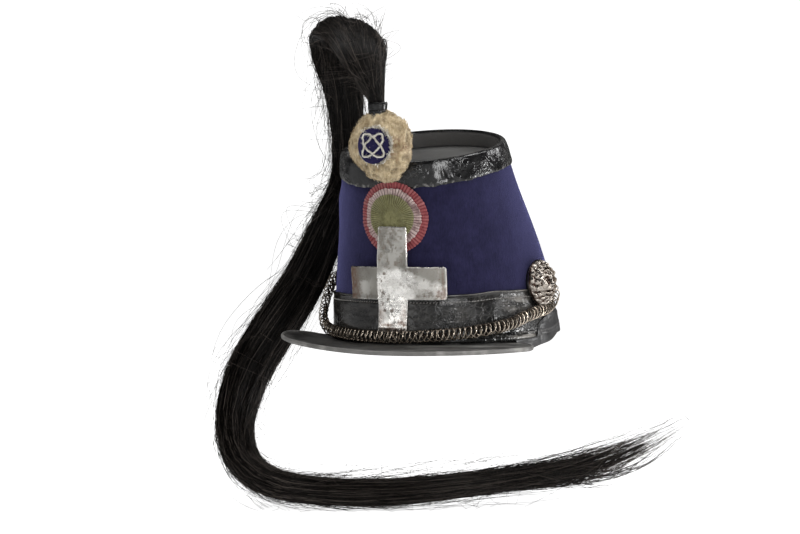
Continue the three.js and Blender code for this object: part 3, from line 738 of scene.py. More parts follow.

# %% [markdown]
# The fittings are brass or white metal, once silvered. They stay bright where they were rubbed, cloud over
# elsewhere and go brown in their hollows. The mesh marks what only its shape knows. The dull mark is where
# the silver has greyed, and on the cross it is also painted shade on the arms that turn from the lamps.
# The tone mark is how deep in the dirt a point lies, and on the cross it also paints one thin line of
# shade.

# %% Finish: metals


def metal_finish(name, bright, dull, recess, rough, scratches, clouds):
    material, nodes, shader = new_finish(name, Metallic=1.0)
    stain = effect(nodes, TARNISH, Clouds=clouds)
    lines = effect(nodes, SCRATCH, Amount=scratches)
    faded_and_shade = mark(nodes, "dull")
    clouded = nodes.maths("MULTIPLY_ADD", stain["Cloud"], 0.3, faded_and_shade)
    colour = nodes.blend(clouded, (*bright, 1), (*dull, 1))
    flecks = nodes.times(stain["Speck"], nodes.maths("MULTIPLY_ADD", faded_and_shade, 0.3, 0.6))
    colour = nodes.blend(flecks, colour, (*recess, 1))
    colour = nodes.blend(nodes.times(lines["Mark"], 0.6), colour, (*dull, 1))
    colour = nodes.blend(mark(nodes, "tone"), colour, (*recess, 1))
    nodes.put(colour, shader.inputs["Base Color"])
    wear = nodes.maths("MULTIPLY_ADD", nodes.plus(stain["Cloud"], faded_and_shade), 0.12, rough)
    nodes.put(nodes.maths("MULTIPLY_ADD", lines["Mark"], 0.15, wear), shader.inputs["Roughness"])
    height = nodes.maths("SUBTRACT", nodes.times(stain["Speck"], -0.4), lines["Mark"])
    bump(nodes, shader, height, 0.00012)
    return material


plate_metal = metal_finish(
    "plate_metal", (0.9, 0.885, 0.85), (0.27, 0.26, 0.235), (0.17, 0.105, 0.075), 0.2, 0.6, 70.0)
boss_metal = metal_finish(
    "boss_metal", (0.56, 0.51, 0.455), (0.3, 0.25, 0.21), (0.04, 0.02, 0.013), 0.2, 0.2, 200.0)
chain_metal = metal_finish(
    "chain_metal", (0.78, 0.68, 0.56), (0.2, 0.14, 0.1), (0.028, 0.015, 0.009), 0.22, 0.2, 250.0)
wire_metal = metal_finish(
    "wire_metal", (0.8, 0.77, 0.7), (0.5, 0.45, 0.37), (0.22, 0.17, 0.11), 0.4, 0.0, 300.0)
print("metal finishes:", plate_metal.name, boss_metal.name, chain_metal.name, wire_metal.name)

# %% [markdown]
# Ribbon, wool and thread are soft fibre, so each is felt at its own scale with a little sheen.
# Two marks from the mesh colour them. Ribbon is faded on its crests and painted dark in its folds as
# shade. Wool is stained at one side and painted dark between its clumps as shade.

# %% Finish: ribbon, wool and thread


def fibre_finish(name, deep, light, fibres, mottle, stains, relief, **fixed):
    """stains are two marks, each with the colour that it brings."""
    material, nodes, shader = new_finish(name, **fixed)
    felt = effect(nodes, FELT, Fibres=fibres, Mottle=mottle)
    colour = nodes.blend(felt["Tint"], (*deep, 1), (*light, 1))
    for label, stain in stains:
        colour = nodes.blend(mark(nodes, label), colour, (*stain, 1))
    nodes.put(colour, shader.inputs["Base Color"])
    if relief:
        bump(nodes, shader, felt["Height"], *relief)
    return material


def ribbon_finish(name, deep, light, faded_and_shade, shadow):
    stains = [("worn", faded_and_shade), ("fold", shadow)]
    return fibre_finish(name, deep, light, 2400.0, 260.0, stains, (0.0003, 0.6),
                        Roughness=0.8, Sheen_Weight=0.15, Specular_IOR_Level=0.25)


red_ribbon = ribbon_finish(
    "red_ribbon", (0.185, 0.03, 0.038), (0.36, 0.085, 0.09), (0.42, 0.19, 0.185), (0.05, 0.006, 0.01))
white_ribbon = ribbon_finish(
    "white_ribbon", (0.4, 0.28, 0.27), (0.7, 0.58, 0.55), (0.34, 0.19, 0.18), (0.06, 0.014, 0.016))
green_ribbon = ribbon_finish(
    "green_ribbon", (0.125, 0.118, 0.05), (0.26, 0.25, 0.115), (0.34, 0.32, 0.2), (0.03, 0.028, 0.01))
wool = fibre_finish(
    "cream_wool", (0.4, 0.3, 0.165), (0.82, 0.7, 0.48), 1500.0, 160.0,
    # the deep mark paints shade between the clumps
    [("stain", (0.22, 0.095, 0.055)), ("deep", (0.12, 0.075, 0.035))], (0.0008, 0.8),
    Roughness=0.95, Sheen_Weight=0.25, Specular_IOR_Level=0.15)
thread = fibre_finish(
    "waxed_thread", (0.22, 0.21, 0.2), (0.5, 0.48, 0.45), 3000.0, 90.0, [], None, Roughness=0.6)
print("fibre finishes:", red_ribbon.name, white_ribbon.name, green_ribbon.name, wool.name, thread.name)

# %% [markdown]
# Horsehair is smooth and nearly black, with a brown hair here and there. Each hair carries its own shade,
# which the finish turns into a colour. Along the plume that shade is also raised and lowered as painted
# light.

# %% Finish: horsehair
horsehair, nodes, shader = new_finish("horsehair", Roughness=0.4, Specular_IOR_Level=0.14)
colour = nodes.blend(mark(nodes, "shade"), (0.0022, 0.002, 0.002, 1), (0.112, 0.095, 0.083, 1))
nodes.put(colour, shader.inputs["Base Color"])
print("finish:", horsehair.name)

# %% [markdown]
# ## The cloth crown
# The crown is stiffened felted wool. A pattern cutter draws it as a slanting oval tube; here the
# same tube is one closed skin with an outside, an inside and two edges. Cloth over a stiffener is
# never quite even, so low soft lumps swell it by a third of a millimetre between the bands, and
# each side bulges by a millimetre or two where the stiffener has given way.

# %% Crown
CLOTH, CROWN_FOOT, GAP = 2.0, 5.0, 0.3
crown_top = RIM_HEIGHT - 2 * GAP
profile = rounded(
    [(0, CROWN_FOOT), (0, crown_top), (-CLOTH, crown_top), (-CLOTH, CROWN_FOOT)], step=5.0)


def cloth_swell(bearing, height, out, level):
    """Soft lumps between the bands, and a bulge on each of the wearer's sides."""
    degrees, place = np.degrees(bearing), wall(bearing, height, out)
    free = smoothstep(height, BAND_HEIGHT + 3, BAND_HEIGHT + 14)
    free = free * (1 - smoothstep(height - rim_height(bearing), -34, -22))
    swell = lumps(place, 26, 1) * 0.35 + lumps(place, 9, 2) * 0.1
    left = read([(-40, 0), (-15, 1), (40, 1), (65, 0)], degrees)
    left = left * smoothstep(height, 36, 44) * (1 - smoothstep(height, 80, 125))
    right = 1 - smoothstep(np.abs(np.abs(degrees) - 170), 15, 40)
    right = right * smoothstep(height, 80, 110)
    return out + (swell + 1.3 * right) * free + 1.9 * left, height


points, faces = wrapped(profile, stretched, 240, cloth_swell)
make("crown_skin", points, faces, crown_cloth, ["crown", "crown_foot"])

# %% [markdown]
# ## The head band
# A strip of thin patent leather is glued round the foot of the crown. Its upper edge is turned
# over a cord, so it shows as a pale worn line, and a row of stitches runs just under it. The
# lower edge is rolled. Old glue has let the leather pucker in some places and lie calm in others,
# which breaks the reflections into soft patches and short strokes: noise stretched along the band
# does both, and a table adds the few places where it has crumpled.

# %% Head band: its section and its shape
BAND, BAND_AROUND = 1.8, 400
BAND_REACH, BAND_HALF = 90, 290  # its mean radius, and half its length round the head
band_profile = rounded([
    (GAP, 0), (BAND, 0), (BAND + 1.5, 1.1), (BAND + 1.6, 2.9), (BAND + 1.1, 5), (BAND + 0.4, 7),
    (BAND + 0.2, 12), (BAND + 0.2, 29.4), (BAND - 0.1, 31), (BAND - 0.1, 33.8), (BAND + 0.45, 34.7),
    (BAND + 0.5, 35.4), (BAND + 0.1, 36), (GAP, 36),
], 0.3, 1.0, plain=(13,))
CRUMPLED = [
    # bearing, height, half width in degrees, half height in millimetres, depth
    (-57, 19, 8, 9, 1.5), (-27, 24, 9, 8, 1.1), (-12, 14, 10, 6, 0.4), (-112, 22, 12, 7, 0.3),
    (170, 18, 25, 9, 0.7),
]


def crumpled_at(degrees, level):
    return sum(depth * blob(degrees, level, *place) for *place, depth in CRUMPLED)


def band_rise(degrees):
    """How far the stretched upper edge has ridden up, by bearing."""
    return read([(-66, 0), (-49, 0.9), (-38, 2.6), (-12, 3.1), (30, 3.1), (60, 0)], degrees)


def band_shape(bearing, height, out, level):
    degrees = np.degrees(bearing)
    at = xyz(bearing * BAND_REACH / 2.4, level, 0 * level)
    fine = xyz(bearing * BAND_REACH / 1.6, level * 1.3, 0 * level)
    drawn = xyz(bearing * BAND_REACH / 3, level * 1.6, 0 * level)
    outer = smoothstep(out, 1.0, 1.7)
    body = smoothstep(level, 8, 12) * (1 - smoothstep(level, 27, 29.4))
    crumpled = smoothstep(lumps(at, 16, 50), 0.0, 0.5) * 0.25 + crumpled_at(degrees, level)
    pucker = lumps(at, 11, 3) * 0.2 + lumps(drawn, 3, 74) * 0.09
    pucker = pucker + crumpled * (lumps(fine, 3, 4) * 0.22 + lumps(fine, 1.5, 51) * 0.1)
    edge_wave = smoothstep(level, 32, 36) * lumps(at, 9, 52) * 0.35
    risen = band_rise(degrees) * smoothstep(level, 20, 33)
    return out + outer * body * pucker, height + edge_wave + risen


print("head band section:", len(band_profile), "points")

# %% [markdown]
# The wear mark greys the leather. The turned edge is rubbed pale. In front and to the wearer's right a
# haze lies on the lacquer in long soft streaks. To the left of the front a few pale strokes are painted
# highlights, where the lacquer would catch the lamps: on the band, on its crumpled patch and on the rolled
# lower edge.

# %% Head band: its wear
bearing, out, level = round_wall(band_profile, BAND_AROUND)
degrees, outer = np.degrees(bearing), smoothstep(out, 1.4, 1.8)
run = np.linspace(-BAND_HALF, BAND_HALF, BAND_AROUND)[None, :]
spots, drawn = xyz(run, level, 0 * level), xyz(run * 0.3, level * 1.8, 0 * level)
edge = smoothstep(level, 34.6, 35.2) * smoothstep(out, 1.7, 2.2)
edge = edge * (0.8 + 0.7 * lumps(spots, 12, 53)) + smoothstep(level, 28, 31) * (1 - edge) * 0.12
edge = edge * (0.1 + 0.9 * smoothstep(degrees, -62, -38)) * 0.45
haze = smoothstep(lumps(drawn, 3.5, 76), -0.4, 0.5) * (1 - smoothstep(degrees, -85, -62))
haze = haze * smoothstep(degrees, -150, -130)
# painted highlights: pale strokes on the band, on the crumpled patch and on the rolled lower edge
painted_highlight = 1.3 * blob(degrees, level, -24, 27, 7, 3.5) + 1.6 * blob(degrees, level, -19, 3.6, 8, 1.6)
painted_highlight = painted_highlight + 0.25 * blob(degrees, level, -57, 21, 6, 6)
painted_highlight = painted_highlight * smoothstep(lumps(drawn, 2.2, 77), -0.6, 0.2)
points, faces = wrapped(band_profile, above_foot, BAND_AROUND, band_shape)
make("head_band_skin", points, faces, band_leather, "head_band",
     wear=edge + (haze * 0.13 + painted_highlight * 1.15) * outer, crumple=crumpled_at(degrees, level))

# %% [markdown]
# The stitches are short rods just under the turned edge, each a little tilted. Waxed linen thread
# is greyer than the leather, so it reads as a dotted line. A second, finer row shows for two
# centimetres on the rolled lower edge, at the wearer's left.

# %% Stitches


def stitch_row(name, low_bearing, high_bearing, height, out, spacing=2.5, thick=0.3, rise=band_rise):
    steps = np.linspace(0, 1, 400)
    bearings = np.radians(low_bearing + (high_bearing - low_bearing) * steps)
    line = wall(bearings, height + rise(np.degrees(bearings)), out)
    length = np.concatenate([[0], np.cumsum(np.linalg.norm(np.diff(line, axis=0), axis=1))])
    count = int(length[-1] / spacing)
    starts = np.arange(count) * spacing
    share = np.array([0, 0.15, 0.5, 0.85, 1])
    at = np.interp(starts[:, None] + share * spacing * 0.45, length, bearings)
    tilt = (share - 0.5) * 0.35
    lift = np.array([-0.35, 0.05, 0.15, 0.05, -0.35])
    paths = wall(at, height + rise(np.degrees(at)) + tilt, out + lift)
    points, faces = tubes(paths, np.full(paths.shape[:2], thick), 5)
    return make(name, points, faces, thread)


stitch_row("band_stitches", -180, 180, 30.4, BAND + 0.2)
stitch_row("roll_stitches", -24, -9.5, 6.4, BAND + 0.75, 1.6, 0.2, lambda degrees: 0 * degrees)

# %% [markdown]
# ## The top band and the sunken top
# The rim leather is thicker and was lacquered, and a hundred years of handling has crazed it. It
# rolls over the crown's edge and turns down inside. Its lower edge was never turned: it is ragged
# and chipped, and has worn back upwards on the sides and behind.

# %% Top band: its section and its shape
TOP_DEPTH = 12  # how far the sunken top lies below the rim
RIM_AROUND, RIM_REACH = 420, 66  # points round it, and its mean radius
rim_profile = rounded([
    (GAP, -19.4), (1.7, -19.4), (2.0, -17.9), (2.2, -12), (2.4, -5), (2.3, -1.9), (1.9, 0.0),
    (1.1, 0.9), (-0.6, 1.2), (-1.8, 0.7), (-2.9, -0.8), (-3.3, -2.4), (-3.3, 0.1 - TOP_DEPTH),
    (-CLOTH - GAP, 0.1 - TOP_DEPTH), (-CLOTH - GAP, -GAP), (GAP, -GAP),
], 0.35, 1.0, plain=(12, 13, 14, 15))


def worn_back(degrees):
    """How far the raw lower edge has been worn upwards, by bearing."""
    return read([(-180, 3.5), (-150, 3.2), (-120, 0.5), (-75, 0), (-55, 0.8), (-20, 3.3),
                 (30, 3.7), (180, 3.5)], degrees)


def rim_shape(bearing, height, out, level):
    degrees = np.degrees(bearing)
    at = xyz(bearing * RIM_REACH, level, 0 * level)
    fine = xyz(bearing * RIM_REACH, level / 2.2, 0 * level)
    outer = smoothstep(out, 0.9, 1.6)
    crinkled = 0.2 + 1.6 * blob(degrees, level, -57, -11, 12, 8) + smoothstep(degrees, -8, 4) * 0.6
    pucker = lumps(at, 7, 5) * 0.24
    pucker = pucker + (lumps(fine, 2.4, 6) * 0.2 + lumps(fine, 1.3, 7) * 0.09) * crinkled
    top = smoothstep(level, -6, 1)
    low = 1 - smoothstep(level, -18.4, -14)
    ragged = (lumps(fine, 7, 8) * 0.8 + lumps(fine, 1.8, 9) * 0.45) * low
    ragged = ragged + worn_back(degrees) * (1 - smoothstep(level, -19, -8)) * (out > 0)
    chips = np.maximum(lumps(fine, 1.3, 10) - 0.25, 0) * low * 0.8
    return out + outer * (pucker * (1 - 0.55 * top) - chips * 0.6), height + ragged


print("top band section:", len(rim_profile), "points")

# %% [markdown]
# Here the wear mark shows the pale core of the leather in the chips and the rubbed crest of the roll. The
# sides that hands have used are chipped higher, and the slanting grey streaks there are painted
# highlights. The grey inside the lip is painted light, standing for a soft highlight on the far inner
# wall.

# %% Top band: its wear
bearing, out, level = round_wall(rim_profile, RIM_AROUND)
degrees, outer = np.degrees(bearing), smoothstep(out, 0.8, 1.6)
spots = xyz(bearing * RIM_REACH, level, 0 * level)
slanting = xyz(bearing * RIM_REACH + level * 0.8, level * 0.6, 0 * level)
# both ends of the band: real chips reach higher here, and painted highlight streaks lie here too
side_wear_and_highlight = smoothstep(degrees, -8, 4) * (1 - smoothstep(degrees, 60, 90))
side_wear_and_highlight = side_wear_and_highlight + 1 - smoothstep(degrees, -140, -128)
chipped = lumps(spots, 1.6, 11) + 0.5 * lumps(spots, 9, 12) + 0.35 * side_wear_and_highlight
chipped = smoothstep(chipped, 0.25, 0.6) * (1 - smoothstep(level, -18.4, -16.6 + 2.4 * side_wear_and_highlight)) * outer
# painted highlights: slanting grey streaks on the sides
painted_highlight = side_wear_and_highlight * outer * (0.04 + 0.32 * smoothstep(lumps(slanting, 2.2, 69), 0.0, 0.7))
# painted light: the inside of the lip is painted grey as a soft highlight
inner_painted_light = 1 - smoothstep(out, -3.25, -2.7)
crest = smoothstep(level, 0.5, 1.0) * (0.35 + 0.4 * lumps(spots, 5, 73))
points, faces = wrapped(rim_profile, from_rim, RIM_AROUND, rim_shape)
make("top_band_skin", points, faces, top_band_leather, "top_band",
     wear=chipped * 1.3 + inner_painted_light * 1.2 + crest + painted_highlight)

# %% [markdown]
# The top is a dull sheet stretched across the opening, a finger's width below the rim, and it
# sags a little in the middle. It is a disc of rings drawn in from the wall, with a fan of
# triangles at the middle of each side.

# %% Sunken top
TOP_RINGS, TOP_ROUND, TOP_SAG, TOP_THICK = 26, 160, 1.6, 1.8
share = np.linspace(0, 1, TOP_RINGS)[:, None]
bearing = np.linspace(-np.pi, np.pi, TOP_ROUND, endpoint=False)[None, :]
edge_points = wall(bearing, rim_height(bearing) - TOP_DEPTH, -CLOTH - GAP)
middle_point = np.array([0, TOP_MIDDLE, RIM_HEIGHT - TOP_DEPTH])
sheet = middle_point + (edge_points - middle_point) * share[..., None]
sheet[..., 2] += -TOP_SAG * (1 - share ** 2) + lumps(sheet, 22, 13) * 0.5 * (1 - share ** 6)
under = sheet[::-1] - [0, 0, TOP_THICK]
both = np.concatenate([sheet[1:], under[:-1]])
centres = np.array([sheet[0, 0], under[-1, 0]])
upper_ring = np.arange(TOP_ROUND)
lower_ring = upper_ring + (len(both) - 1) * TOP_ROUND
upper_centre = np.full(TOP_ROUND, len(both) * TOP_ROUND)
fans = np.concatenate([
    xyz(upper_centre, np.roll(upper_ring, -1), upper_ring),
    xyz(upper_centre + 1, lower_ring, np.roll(lower_ring, -1)),
])
points = np.concatenate([both.reshape(-1, 3), centres])
faces = [grid(len(both), TOP_ROUND, columns_close=True), fans]
make("top_sheet", points, faces, top_leather, "top_disc", wear=np.zeros(len(points)))

# %% [markdown]
# ## The peak
# The peak is two plies of stiff leather sewn together and bound at the edge. It springs from under
# the head band, where a flange turns up to be sewn, reaches furthest in front and dies out at the
# temples. Rows of a table give its reach and the height of its edge, and a smooth curve between
# rows keeps the outline fair.

# %% The peak's surface
PEAK_ROWS = np.array([
    # bearing, reach, height of the edge
    (-18, 5, -2.5), (-27, 17, -3), (-40, 30, -2.5), (-60, 43, -2.5), (-90, 50, -2),
    (-115, 49, 2), (-135, 42, 5), (-150, 29, 5.5), (-165, 7, 1),
])
PEAK_FROM, PEAK_TO = PEAK_ROWS[0, 0], PEAK_ROWS[-1, 0]
PEAK_THICK, PEAK_TUCK = 2.2, 4.0


def smooth_rows(rows, at, column):
    """A column of a table read along its first column, by a curve through the rows."""
    rows = rows[np.argsort(rows[:, 0])]
    slopes = np.gradient(rows[:, column], rows[:, 0])
    at = np.clip(at, rows[0, 0], rows[-1, 0])
    index = np.clip(np.searchsorted(rows[:, 0], at) - 1, 0, len(rows) - 2)
    span = rows[index + 1, 0] - rows[index, 0]
    t = (at - rows[index, 0]) / span
    return hermite(t, rows[index, column], span * slopes[index],
                   rows[index + 1, column], span * slopes[index + 1])


def peak_at(bearing, share):
    """Points on the peak's middle surface, from under the band (share 0) to its edge (1)."""
    reach, rise = smooth_rows(PEAK_ROWS, bearing, 1), smooth_rows(PEAK_ROWS, bearing, 2)
    inner = BAND - PEAK_TUCK
    spot = wall(np.radians(bearing), 0, inner + (BAND + reach - inner) * share)
    spot[..., 2] = rise * share ** 1.4 - GAP * 2 - PEAK_THICK / 2
    return spot


print("peak from bearing", PEAK_FROM, "to", PEAK_TO)

# %% [markdown]
# Handling has dented the peak a little and rubbed it lightly along its edge. Pale strokes that follow the
# edge, most of all on the wearer's left, are painted highlight streaks.

# %% Peak
PEAK_ROUND, PEAK_DEEP = 150, 44
bearing = np.linspace(PEAK_FROM, PEAK_TO, PEAK_ROUND)[:, None]
share = np.linspace(0, 1, PEAK_DEEP)[None, :]
bearing, share = np.broadcast_arrays(bearing, share)
middle_sheet = peak_at(bearing, share)
dent = lumps(middle_sheet, 24, 14) * 0.35 + lumps(middle_sheet, 8, 15) * 0.08
dent = dent * smoothstep(share, 0.05, 0.3)
from_inner = share * (smooth_rows(PEAK_ROWS, bearing, 1) + PEAK_TUCK)
flange = 4.8 * (1 - smoothstep(from_inner, 0.3, 2.6))
middle_sheet[..., 2] += flange
upper = middle_sheet + xyz(0 * dent, 0 * dent, PEAK_THICK / 2 + dent * 0.6)
lower = middle_sheet + xyz(0 * dent, 0 * dent, -PEAK_THICK / 2 + dent * 0.6)
along_edge = xyz(bearing * 0.25, from_inner * 1.7, 0 * from_inner)
# painted highlights: pale streaks along the edge on the wearer's left
painted_streaks = smoothstep(lumps(along_edge, 2.6, 75), 0.05, 0.5) * smoothstep(bearing, -95, -50)
wear_and_highlight = (smoothstep(share, 0.82, 1.0) * 0.15 + painted_streaks) * 0.7
points, faces = shell(upper, lower)
make("peak_skin", points, faces, peak_leather, "peak",
     wear=np.concatenate([wear_and_highlight, wear_and_highlight[:, ::-1]], axis=1))

# %% [markdown]
# A narrow strip folded over the peak's edge protects the two plies. Swept along the edge, its section is a
# rounded bead with a shallow groove where the strip was pressed down. The bead is painted pale grey in
# patches as a highlight.

# %% Peak binding
BEAD_HIGH, BEAD_WIDE, BEAD_ROUND, BEAD_STEPS = 3.4, 2.6, 14, 240
bearing = np.linspace(PEAK_FROM, PEAK_TO, BEAD_STEPS)
edge_line, inner_line = peak_at(bearing, 1.0 + 0 * bearing), peak_at(bearing, 0.6 + 0 * bearing)
outward = unit((edge_line - inner_line) * [1, 1, 0])
angle = turns(BEAD_ROUND)
plump = 1 - 0.16 * np.exp(-((np.cos(angle) - 0.95) / 0.12) ** 2)
taper = 0.55 + 0.45 * smoothstep(np.minimum(bearing - PEAK_TO, PEAK_FROM - bearing), 0, 6)
across = BEAD_WIDE / 2 * np.cos(angle) * plump
tall = BEAD_HIGH / 2 * np.sign(np.sin(angle)) * np.abs(np.sin(angle)) ** 0.8
centre = edge_line + outward * (BEAD_WIDE / 2 + GAP * 1.5)
bead = centre[:, None] + outward[:, None] * (across * taper[:, None])[..., None]
bead[..., 2] += tall * taper[:, None]
bead += lumps(bead, 5, 16)[..., None] * outward[:, None] * 0.12
# painted highlight: the bead is painted pale grey in patches
bead_highlight = 0.4 + smoothstep(lumps(bead, 6, 17), 0.1, 0.7) * 0.4
make("peak_binding_skin", bead, tube_faces(BEAD_STEPS, BEAD_ROUND), peak_leather,
     "peak_binding", wear=bead_highlight)

# %% [markdown]
# ## The neck guard
# From one temple round the back to the other, a second skirt of softer leather is sewn over the
# band and leans away from it as it drops. It starts at an upright seam, and only a pared strip
# carries on from there and dives under the end of the peak. A double crease runs round it where
# it was folded, and dirt has paled the fold.

# %% Neck guard: its outline
GUARD_ROWS = np.array([
    # bearing, height of the lower edge, height of the upper edge, flare
    (-26, -7.6, 0.6, 0.0), (-17.3, -6.2, 1.4, 0.0), (-11, -4.8, 2.4, 0.0), (-8.6, -4.2, 7, 0.0),
    (-6, -3.5, 14, 0.0), (3, -0.8, 19, 0.0), (10, 2.5, 21, 0.0), (22, 3.5, 22, 0.5), (90, 1, 22, 4),
    (150, 3.5, 22, 0.5), (175, -1.5, 19, 0.0), (192, -3.5, 8.5, 0.0),
])
GUARD_THICK, GUARD_LEVEL, GUARD_LEAN = 1.8, 22.0, 0.114
GUARD_ROUND, GUARD_DEEP, SEAM = 300, 26, -8.0
bearing = np.linspace(GUARD_ROWS[0, 0], GUARD_ROWS[-1, 0], GUARD_ROUND)[:, None]
drop = np.linspace(0, 1, GUARD_DEEP)[None, :]
bottom = smooth_rows(GUARD_ROWS, bearing, 1)
top, flare = (read(GUARD_ROWS[:, [0, column]], bearing) for column in (2, 3))
height = top + (bottom - top) * drop
print("neck guard from bearing", bearing[0, 0], "to", bearing[-1, 0])

# %% Neck guard: its creases and its lie
place = xyz(bearing * 1.5 + 0 * drop, height, 0 * height)
ripple = lumps(place, 8, 18) * 0.45 + lumps(place, 3, 61) * 0.12
ripple = ripple * smoothstep(drop, 0.1, 0.7)
fold = read([(-8.7, 6), (27, 12), (90, 11), (150, 11), (190, 5)], bearing)
below_fold = fold + lumps(place, 14, 62) * 0.4 - height
crease = np.exp(-(below_fold / 0.45) ** 2) + 0.6 * np.exp(-((below_fold - 2.3) / 0.4) ** 2)
crease = crease * smoothstep(bearing, -9.4, -8.4)
seam = np.exp(-((bearing - SEAM) / 0.5) ** 2) * smoothstep(height, -3, 0)
thin_end = smoothstep(bearing, -26, -14)
hanging = smoothstep(bearing, -9, 8)
over_roll = 1.7 * (1 - smoothstep(height, 3, 8)) * (1 - hanging)
lean = GUARD_LEAN * (GUARD_LEVEL - height) * (0.1 + 0.9 * hanging)
base = BAND + 0.4 + lean + over_roll + flare * drop ** 2 + ripple * thin_end
front_edge = np.exp(-((bearing - SEAM) / 4) ** 2)
thickness = GUARD_THICK * (0.25 + 0.75 * thin_end) * (1 - 0.75 * front_edge)
thickness = thickness * (0.3 + 0.7 * smoothstep(top - height, 0, 3))
inner = wall(np.radians(bearing), height, base)
outer = wall(np.radians(bearing), height, base + thickness + 0.25 * crease - 0.7 * seam)
wear_and_highlight = smoothstep(drop, 0.9, 1.0) * 0.2 + crease * 0.65
points, faces = shell(outer, inner)
make("neck_guard_skin", points, faces, guard_leather, "neck_guard",
     wear=np.concatenate([wear_and_highlight, 0 * wear_and_highlight], axis=1))

# %% [markdown]
# ## Ornaments on the front
# The cross and the cockade are drawn flat and then laid on the curved front. `on_front` takes a
# distance along the wall from the middle of the front, a height, and a distance out.

# %% Laying flat work on the front


def on_front(x, z, out):
    """Points on the front of the kepi for a flat drawing: x along the wall, z up, out from it."""
    x, z, out = np.broadcast_arrays(*(np.asarray(value, float) for value in (x, z, out)))
    bearing = np.full(x.shape, FRONT)
    steps, small = 24, 0.001
    for _ in range(steps):
        pace = np.linalg.norm(wall(bearing + small, z, out) - wall(bearing, z, out), axis=-1)
        bearing = bearing + x / steps * small / pace
    return wall(bearing, z, out)


def loose_edges(faces):
    """Edges that only one face uses, each as (from, to) in that face's order."""
    ends = xyz(faces, np.roll(faces, -1, axis=1)).reshape(-1, 2)
    key = np.sort(ends, axis=1)
    _, first, count = np.unique(key, axis=0, return_index=True, return_counts=True)
    return ends[first[count == 1]]


def plate_of(front, back, keep):
    """A closed plate between two grids of points, (rows, columns, 3), where keep is true."""
    rows, columns = front.shape[:2]
    cells = grid(rows, columns).reshape(rows - 1, columns - 1, 4)[keep]
    rim = loose_edges(cells)
    shift = rows * columns
    sides = xyz(rim[:, 1], rim[:, 0], rim[:, 0] + shift, rim[:, 1] + shift)
    faces = np.concatenate([cells, cells[:, ::-1] + shift, sides])
    points = np.concatenate([front.reshape(-1, 3), back.reshape(-1, 3)])
    used = np.unique(faces)
    order = np.full(len(points), -1)
    order[used] = np.arange(len(used))
    return points[used], order[faces], used


print("front middle at", wall(FRONT, 60, 0).round(1))

# %% [markdown]
# ## The cross
# Sheet metal about a millimetre thick was sawn to a cross and its corners filed round. A grid of
# points whose lines follow the outline makes the sheet: cells outside the cross are left out, the
# points near each tip are drawn in to round it, and the lines just inside the edge let it be
# broken with a small bevel.

# %% Cross: its outline
SPAN, CROSS_LOW, CROSS_HIGH, ARM_LOW, ARM_TALL = 82.0, 8.3, 87.5, 32.4, 25.0
ARM_HIGH, ARM_WIDE, BEVEL = ARM_LOW + ARM_TALL, SPAN * 2 / 7, 0.3
ARM_ROUND, UPRIGHT_ROUND = 2.2, 1.2  # radius at the tips of the arms, and of the upright


def lines(*stops, step=0.9):
    """Grid lines through the stops, with one more line a bevel away on each side of a stop."""
    result = []
    for low, high in zip(stops[:-1], stops[1:]):
        count = max(2, round((high - low - 2 * BEVEL) / step))
        result += [low, *np.linspace(low + BEVEL, high - BEVEL, count + 1)]
    return np.array(result + [stops[-1]])


half, inner_half = SPAN / 2, ARM_WIDE / 2
x_lines = lines(-half, -inner_half, inner_half, half)
z_lines = lines(CROSS_LOW, ARM_LOW, ARM_HIGH, CROSS_HIGH)
flat_x, flat_z = np.meshgrid(x_lines, z_lines)
mid_x, mid_z = (x_lines[1:] + x_lines[:-1]) / 2, (z_lines[1:] + z_lines[:-1]) / 2
keep = (np.abs(mid_x)[None, :] < inner_half) | ((mid_z > ARM_LOW) & (mid_z < ARM_HIGH))[:, None]
for sx in (-1, 1):
    tips = [(half, ARM_LOW, -1, ARM_ROUND), (half, ARM_HIGH, 1, ARM_ROUND),
            (inner_half, CROSS_LOW, -1, UPRIGHT_ROUND), (inner_half, CROSS_HIGH, 1, UPRIGHT_ROUND)]
    for reach, tip_z, sz, radius in tips:
        from_x, from_z = sx * (reach - radius), tip_z - sz * radius
        near = (np.abs(flat_x - sx * reach) < radius) & (np.abs(flat_z - tip_z) < radius)
        u = np.clip((flat_x - from_x) * sx / radius, 0, 1)
        v = np.clip((flat_z - from_z) * sz / radius, 0, 1)
        flat_x = np.where(near, from_x + sx * radius * u * np.sqrt(1 - v ** 2 / 2), flat_x)
        flat_z = np.where(near, from_z + sz * radius * v * np.sqrt(1 - u ** 2 / 2), flat_z)
in_upright, in_arms = np.abs(flat_x) <= inner_half, (flat_z >= ARM_LOW) & (flat_z <= ARM_HIGH)
to_upright = np.minimum(inner_half - np.abs(flat_x), np.minimum(flat_z - CROSS_LOW, CROSS_HIGH - flat_z))
to_arms = np.minimum(half - np.abs(flat_x), np.minimum(flat_z - ARM_LOW, ARM_HIGH - flat_z))
from_edge = np.maximum(np.where(in_upright, to_upright, -9), np.where(in_arms, to_arms, -9))
print("cross grid:", flat_x.shape, "cells kept:", int(keep.sum()))

# %% [markdown]
# It was then bent to the kepi. Its foot lies on the head band and its top steps out over the
# cockade. The middle was left flat and only the arms were bent, so the reflection changes sharply
# at the crease. It stands a little askew, and its sheet is slightly warped.

